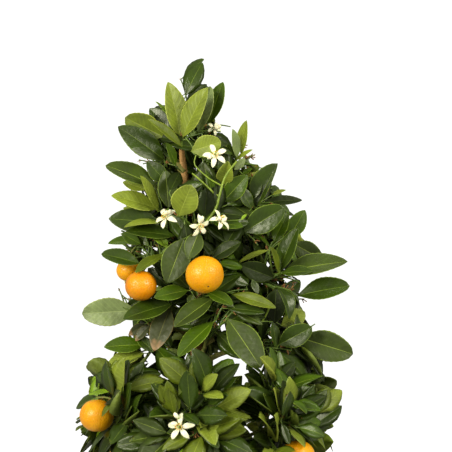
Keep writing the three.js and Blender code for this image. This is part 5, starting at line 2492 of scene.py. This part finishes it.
@dataclass
class Pot:
    """A plain clay pot, turned on a wheel, with a band round its lip."""

    height: float = 165.0
    foot: float = 66.0
    lip: float = 95.0
    wall: float = 6.0
    floor: float = 9.0
    band: float = 30.0
    proud: float = 5.0
    inside_step: int = 12
    sides: int = 128

    def wall_radius(self, z: float) -> float:
        """Returns the radius of the outer wall at a height."""
        return mix(self.foot, self.lip - self.proud, z / self.height)

    def profile(self) -> list[Pair]:
        """Works out the pot's section, from under its floor round to its inside.

        Returns:
            The radius and height of each of its points.
        """
        low = self.height - self.band
        outer = [(self.wall_radius(z), z) for z in range(6, int(low), 6)]
        band = ((1.5, 0), (0.3, 1.2), (0, 3), (0, 12), (0.2, 20))
        rim = ((0, 5), (0.6, 2), (2.2, 0.3), (4.5, 0), (8, 0.2))
        lip = [(self.lip - back, low + up) for back, up in band]
        lip += [(self.lip - back, self.height - down) for back, down in rim]
        lip.append((self.wall_radius(self.height) - self.wall, self.height - 2))
        inner = [(self.wall_radius(z) - self.wall, z) for z in range(155, 10, -self.inside_step)]
        foot = [(0.5, 0), (40, 0), (self.foot - 1.2, 0), (self.foot - 0.2, 0.6), (self.wall_radius(3), 3)]
        neck, floor = (self.wall_radius(low), low - 0.8), (self.wall_radius(9) - 9, self.floor)
        return [*foot, *outer, neck, *lip, *inner, floor, (0.5, self.floor)]

    def build(self) -> None:
        """Builds the pot."""
        rings = []
        for radius, z in self.profile():
            ring = []
            for p in level_ring(0, 1.0, self.sides):
                wobble = 0.25 * noise.noise(Vector((p.x * 1.3, p.y * 1.3, z * 0.02)))
                throw = 0.12 * math.sin(z * 1.05 + 0.6 * noise.noise(Vector((p.x, p.y, z * 0.1))))
                free = 1 if 3 < z < 163 and radius > 60 else 0
                ring.append(p * (radius + free * (throw + wobble - 0.35)) + UP * z)
            rings.append(ring)
        surface = Surface()
        surface.add_rings(rings)
        show("clay_pot", surface.mesh("clay_pot"), [ClayFinish().material()], ["pot"])


@dataclass
class Soil:
    """The potting soil, with crumbs and pale grains on top."""

    level: float = 149.0
    dome: float = 3.0
    radius: float = 80.0
    rings: int = 34
    sides: int = 96
    strewn: Row = (78.0, 60.0, 40.0, 20.0)

    def height(self, x: float, y: float) -> float:
        """Returns the height of the soil's surface at a place.

        Args:
            x, y: the place.

        Returns:
            The height.
        """
        far = math.hypot(x, y) / self.radius
        dome = self.dome * max(0.0, 1 - far * far)
        lumps = 1.1 * noise.noise(Vector((x * 0.09, y * 0.09, 3)))
        lumps += 0.5 * noise.noise(Vector((x * 0.3, y * 0.3, 8)))
        return self.level - 0.6 + dome + lumps * (1 - far**6)

    def laid(self, radius: float, sides: int, above: float = 0.0) -> list[Vector]:
        """Returns a ring that lies on the soil's surface, or a little above it."""
        ring = level_ring(0, radius, sides)
        return [Vector((p.x, p.y, self.height(p.x, p.y) + above)) for p in ring]

    def crumb(self, number: int) -> Mesh:
        """Makes a rough crumb, about two units across.

        Args:
            number: which crumb it is.

        Returns:
            The mesh.
        """
        surface = Surface()

        def ring(angle: float) -> list[Vector]:
            """Returns the crumb's ring at an angle from its foot."""
            points = level_ring(-math.cos(angle), math.sin(angle), 6)
            return [p * (1 + 0.35 * noise.noise(p * 1.7 + UP * (number * 7))) for p in points]

        surface.add_rings(ovoid(4, 0.08, ring))
        return surface.mesh(f"crumb_{number}", scale=1.0, smooth=False)

    def top(self) -> Surface:
        """Makes the soil's upper surface with a skirt down its sides.

        Returns:
            The surface.
        """
        surface = Surface()
        edge = Pot().wall_radius(self.level) - 6.5
        skirt, middle = level_ring(60, 66, self.sides), level_ring(self.height(0, 0), 0.4, self.sides)
        rings = [self.laid(edge * (1 - i / self.rings), self.sides) for i in range(self.rings)]
        surface.add_rings([skirt, *rings, middle])
        return surface

    def build(self) -> None:
        """Builds the soil, its crumbs and its pale grains."""
        earth = SoilFinish("earth", (44, 32, 24), (78, 58, 42)).material()
        grains = SoilFinish("pale_grain", (206, 200, 188), (232, 228, 218)).material()
        show("earth", self.top().mesh("earth"), [earth], ["soil"])
        kinds = (("crumbs", 90000.0, 0.7, 2.4, earth, 5), ("pale_grains", 5200.0, 0.6, 1.5, grains, 9))
        for name, density, small, large, finish, seed in kinds:
            templates = Templates(name, [self.crumb(seed + k) for k in range(4)])
            values = {
                "Templates": templates.collection, "Seed": seed, "Density": density, "Finish": finish,
                "Smallest": small * MM, "Largest": large * MM,
            }
            ground = Surface()
            ground.add_rings([self.laid(r, 32, 0.3) for r in self.strewn])
            mesh = run_tree(ground.mesh(name), crumb_tree(), values)
            show(name, mesh, (), ["soil"])
            templates.remove()


# ---- studio


@dataclass
class Studio:
    """The camera, the soft lights and the pale floor."""

    frame_width: float = 452.0
    sensor: float = 36.0
    floor_radius: float = 5200.0
    bend_radius: float = 1800.0
    wall_height: float = 5200.0
    sides: int = 96
    glow: Pair = (0.0, 0.86)
    sky: float = 0.46

    def camera(self) -> None:
        """Sets the camera level in front of the crown."""
        eye = FrontView.eye
        data = bpy.data.cameras.new("camera")
        data.sensor_width = self.sensor
        data.lens = self.sensor * -eye.y / self.frame_width
        data.clip_end = 100.0
        camera = bpy.data.objects.new("camera", data)
        camera.location = eye * MM
        camera.rotation_euler = (math.pi / 2, 0, 0)
        bpy.context.scene.collection.objects.link(camera)
        bpy.context.scene.camera = camera

    def lamp(self, name: str, place: Row, size: float, power: float, tint: Row) -> bpy.types.Object:
        """Adds a soft round lamp, in metres, that faces the crown, and returns it.

        Args:
            name: its name.
            place: where it stands.
            size: how wide it is.
            power: its power in watts.
            tint: its colour.

        Returns:
            The lamp.
        """
        data = bpy.data.lights.new(name, "AREA")
        data.shape, data.size, data.energy, data.color = "DISK", size, power, tint
        lamp = bpy.data.objects.new(name, data)
        lamp.location = place
        target = Vector((0.0, 0.0, 0.46))
        lamp.rotation_euler = (target - Vector(place)).to_track_quat("-Z", "Y").to_euler()
        lamp.visible_camera = False
        bpy.context.scene.collection.objects.link(lamp)
        return lamp

    def cove(self) -> None:
        """Makes the floor, which turns up into a pale wall all round."""
        flat, bend = self.floor_radius, self.bend_radius
        turns = (math.pi / 2 * k / 10 for k in range(1, 11))
        rows = [(0.5, 0.0), (flat * 0.3, 0.0), (flat, 0.0)]
        rows += [(flat + bend * math.sin(t), bend * (1 - math.cos(t))) for t in turns]
        rows.append((flat + bend, self.wall_height))
        surface = Surface()
        surface.add_rings([level_ring(z, r, self.sides) for r, z in rows], closed=False)
        mesh = surface.mesh("floor")
        paint = Paint(
            "floor", base_color=(0.46, 0.47, 0.57, 1), roughness=0.9, specular_ior_level=0.1,
            emission_color=(1, 1, 1, 1),
        )
        far = paint.node("ShaderNodeVectorMath", {"Vector": paint.place()}, operation="LENGTH")
        paint.set(emission_strength=paint.range(far.outputs["Value"], 0.3, 2.8, *self.glow))
        mesh.materials.append(paint.material)
        floor = bpy.data.objects.new("floor", mesh)
        floor.visible_glossy = False
        floor.visible_diffuse = False
        bpy.context.scene.collection.objects.link(floor)

    def build(self) -> None:
        """Sets up the camera, the lights, the floor and the view's colours."""
        self.camera()
        self.cove()
        self.lamp("key", (-1.5, -1.8, 1.1), 1.3, 72, (1, 0.97, 0.75))
        self.lamp("fill", (1.6, -1.5, 1.4), 1.2, 52, (1, 0.97, 0.75))
        top = self.lamp("top", (0.1, 0.7, 2.3), 1.2, 46, (1, 0.98, 0.78))
        top.visible_glossy = False
        world = bpy.data.worlds.new("studio")
        world.use_nodes = True
        sky = world.node_tree.nodes["Background"]
        sky.inputs["Color"].default_value = (1, 0.98, 0.76, 1)
        sky.inputs["Strength"].default_value = self.sky
        bpy.context.scene.world = world
        bpy.context.scene.view_settings.view_transform = "Standard"


def main() -> None:
    """Builds every piece and notes how many leaves and twigs there are, and the faces of each piece."""
    logging.basicConfig(level=logging.INFO, format="%(message)s")
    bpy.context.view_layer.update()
    Studio().build()
    growth = Growth()
    leaves = LeafGrower(growth).leaves
    log.info("%d leaves on %d twigs", len(leaves), sum(len(m.twigs + m.shoots) for m in growth.masses))
    Pot().build()
    Soil().build()
    Wood(growth).build()
    Stems(growth, leaves).build()
    Foliage(growth, leaves).build()
    Fruits(growth).build()
    Blossom(growth).build()
    Spurs(growth).build()


if __name__ == "__main__":
    main()
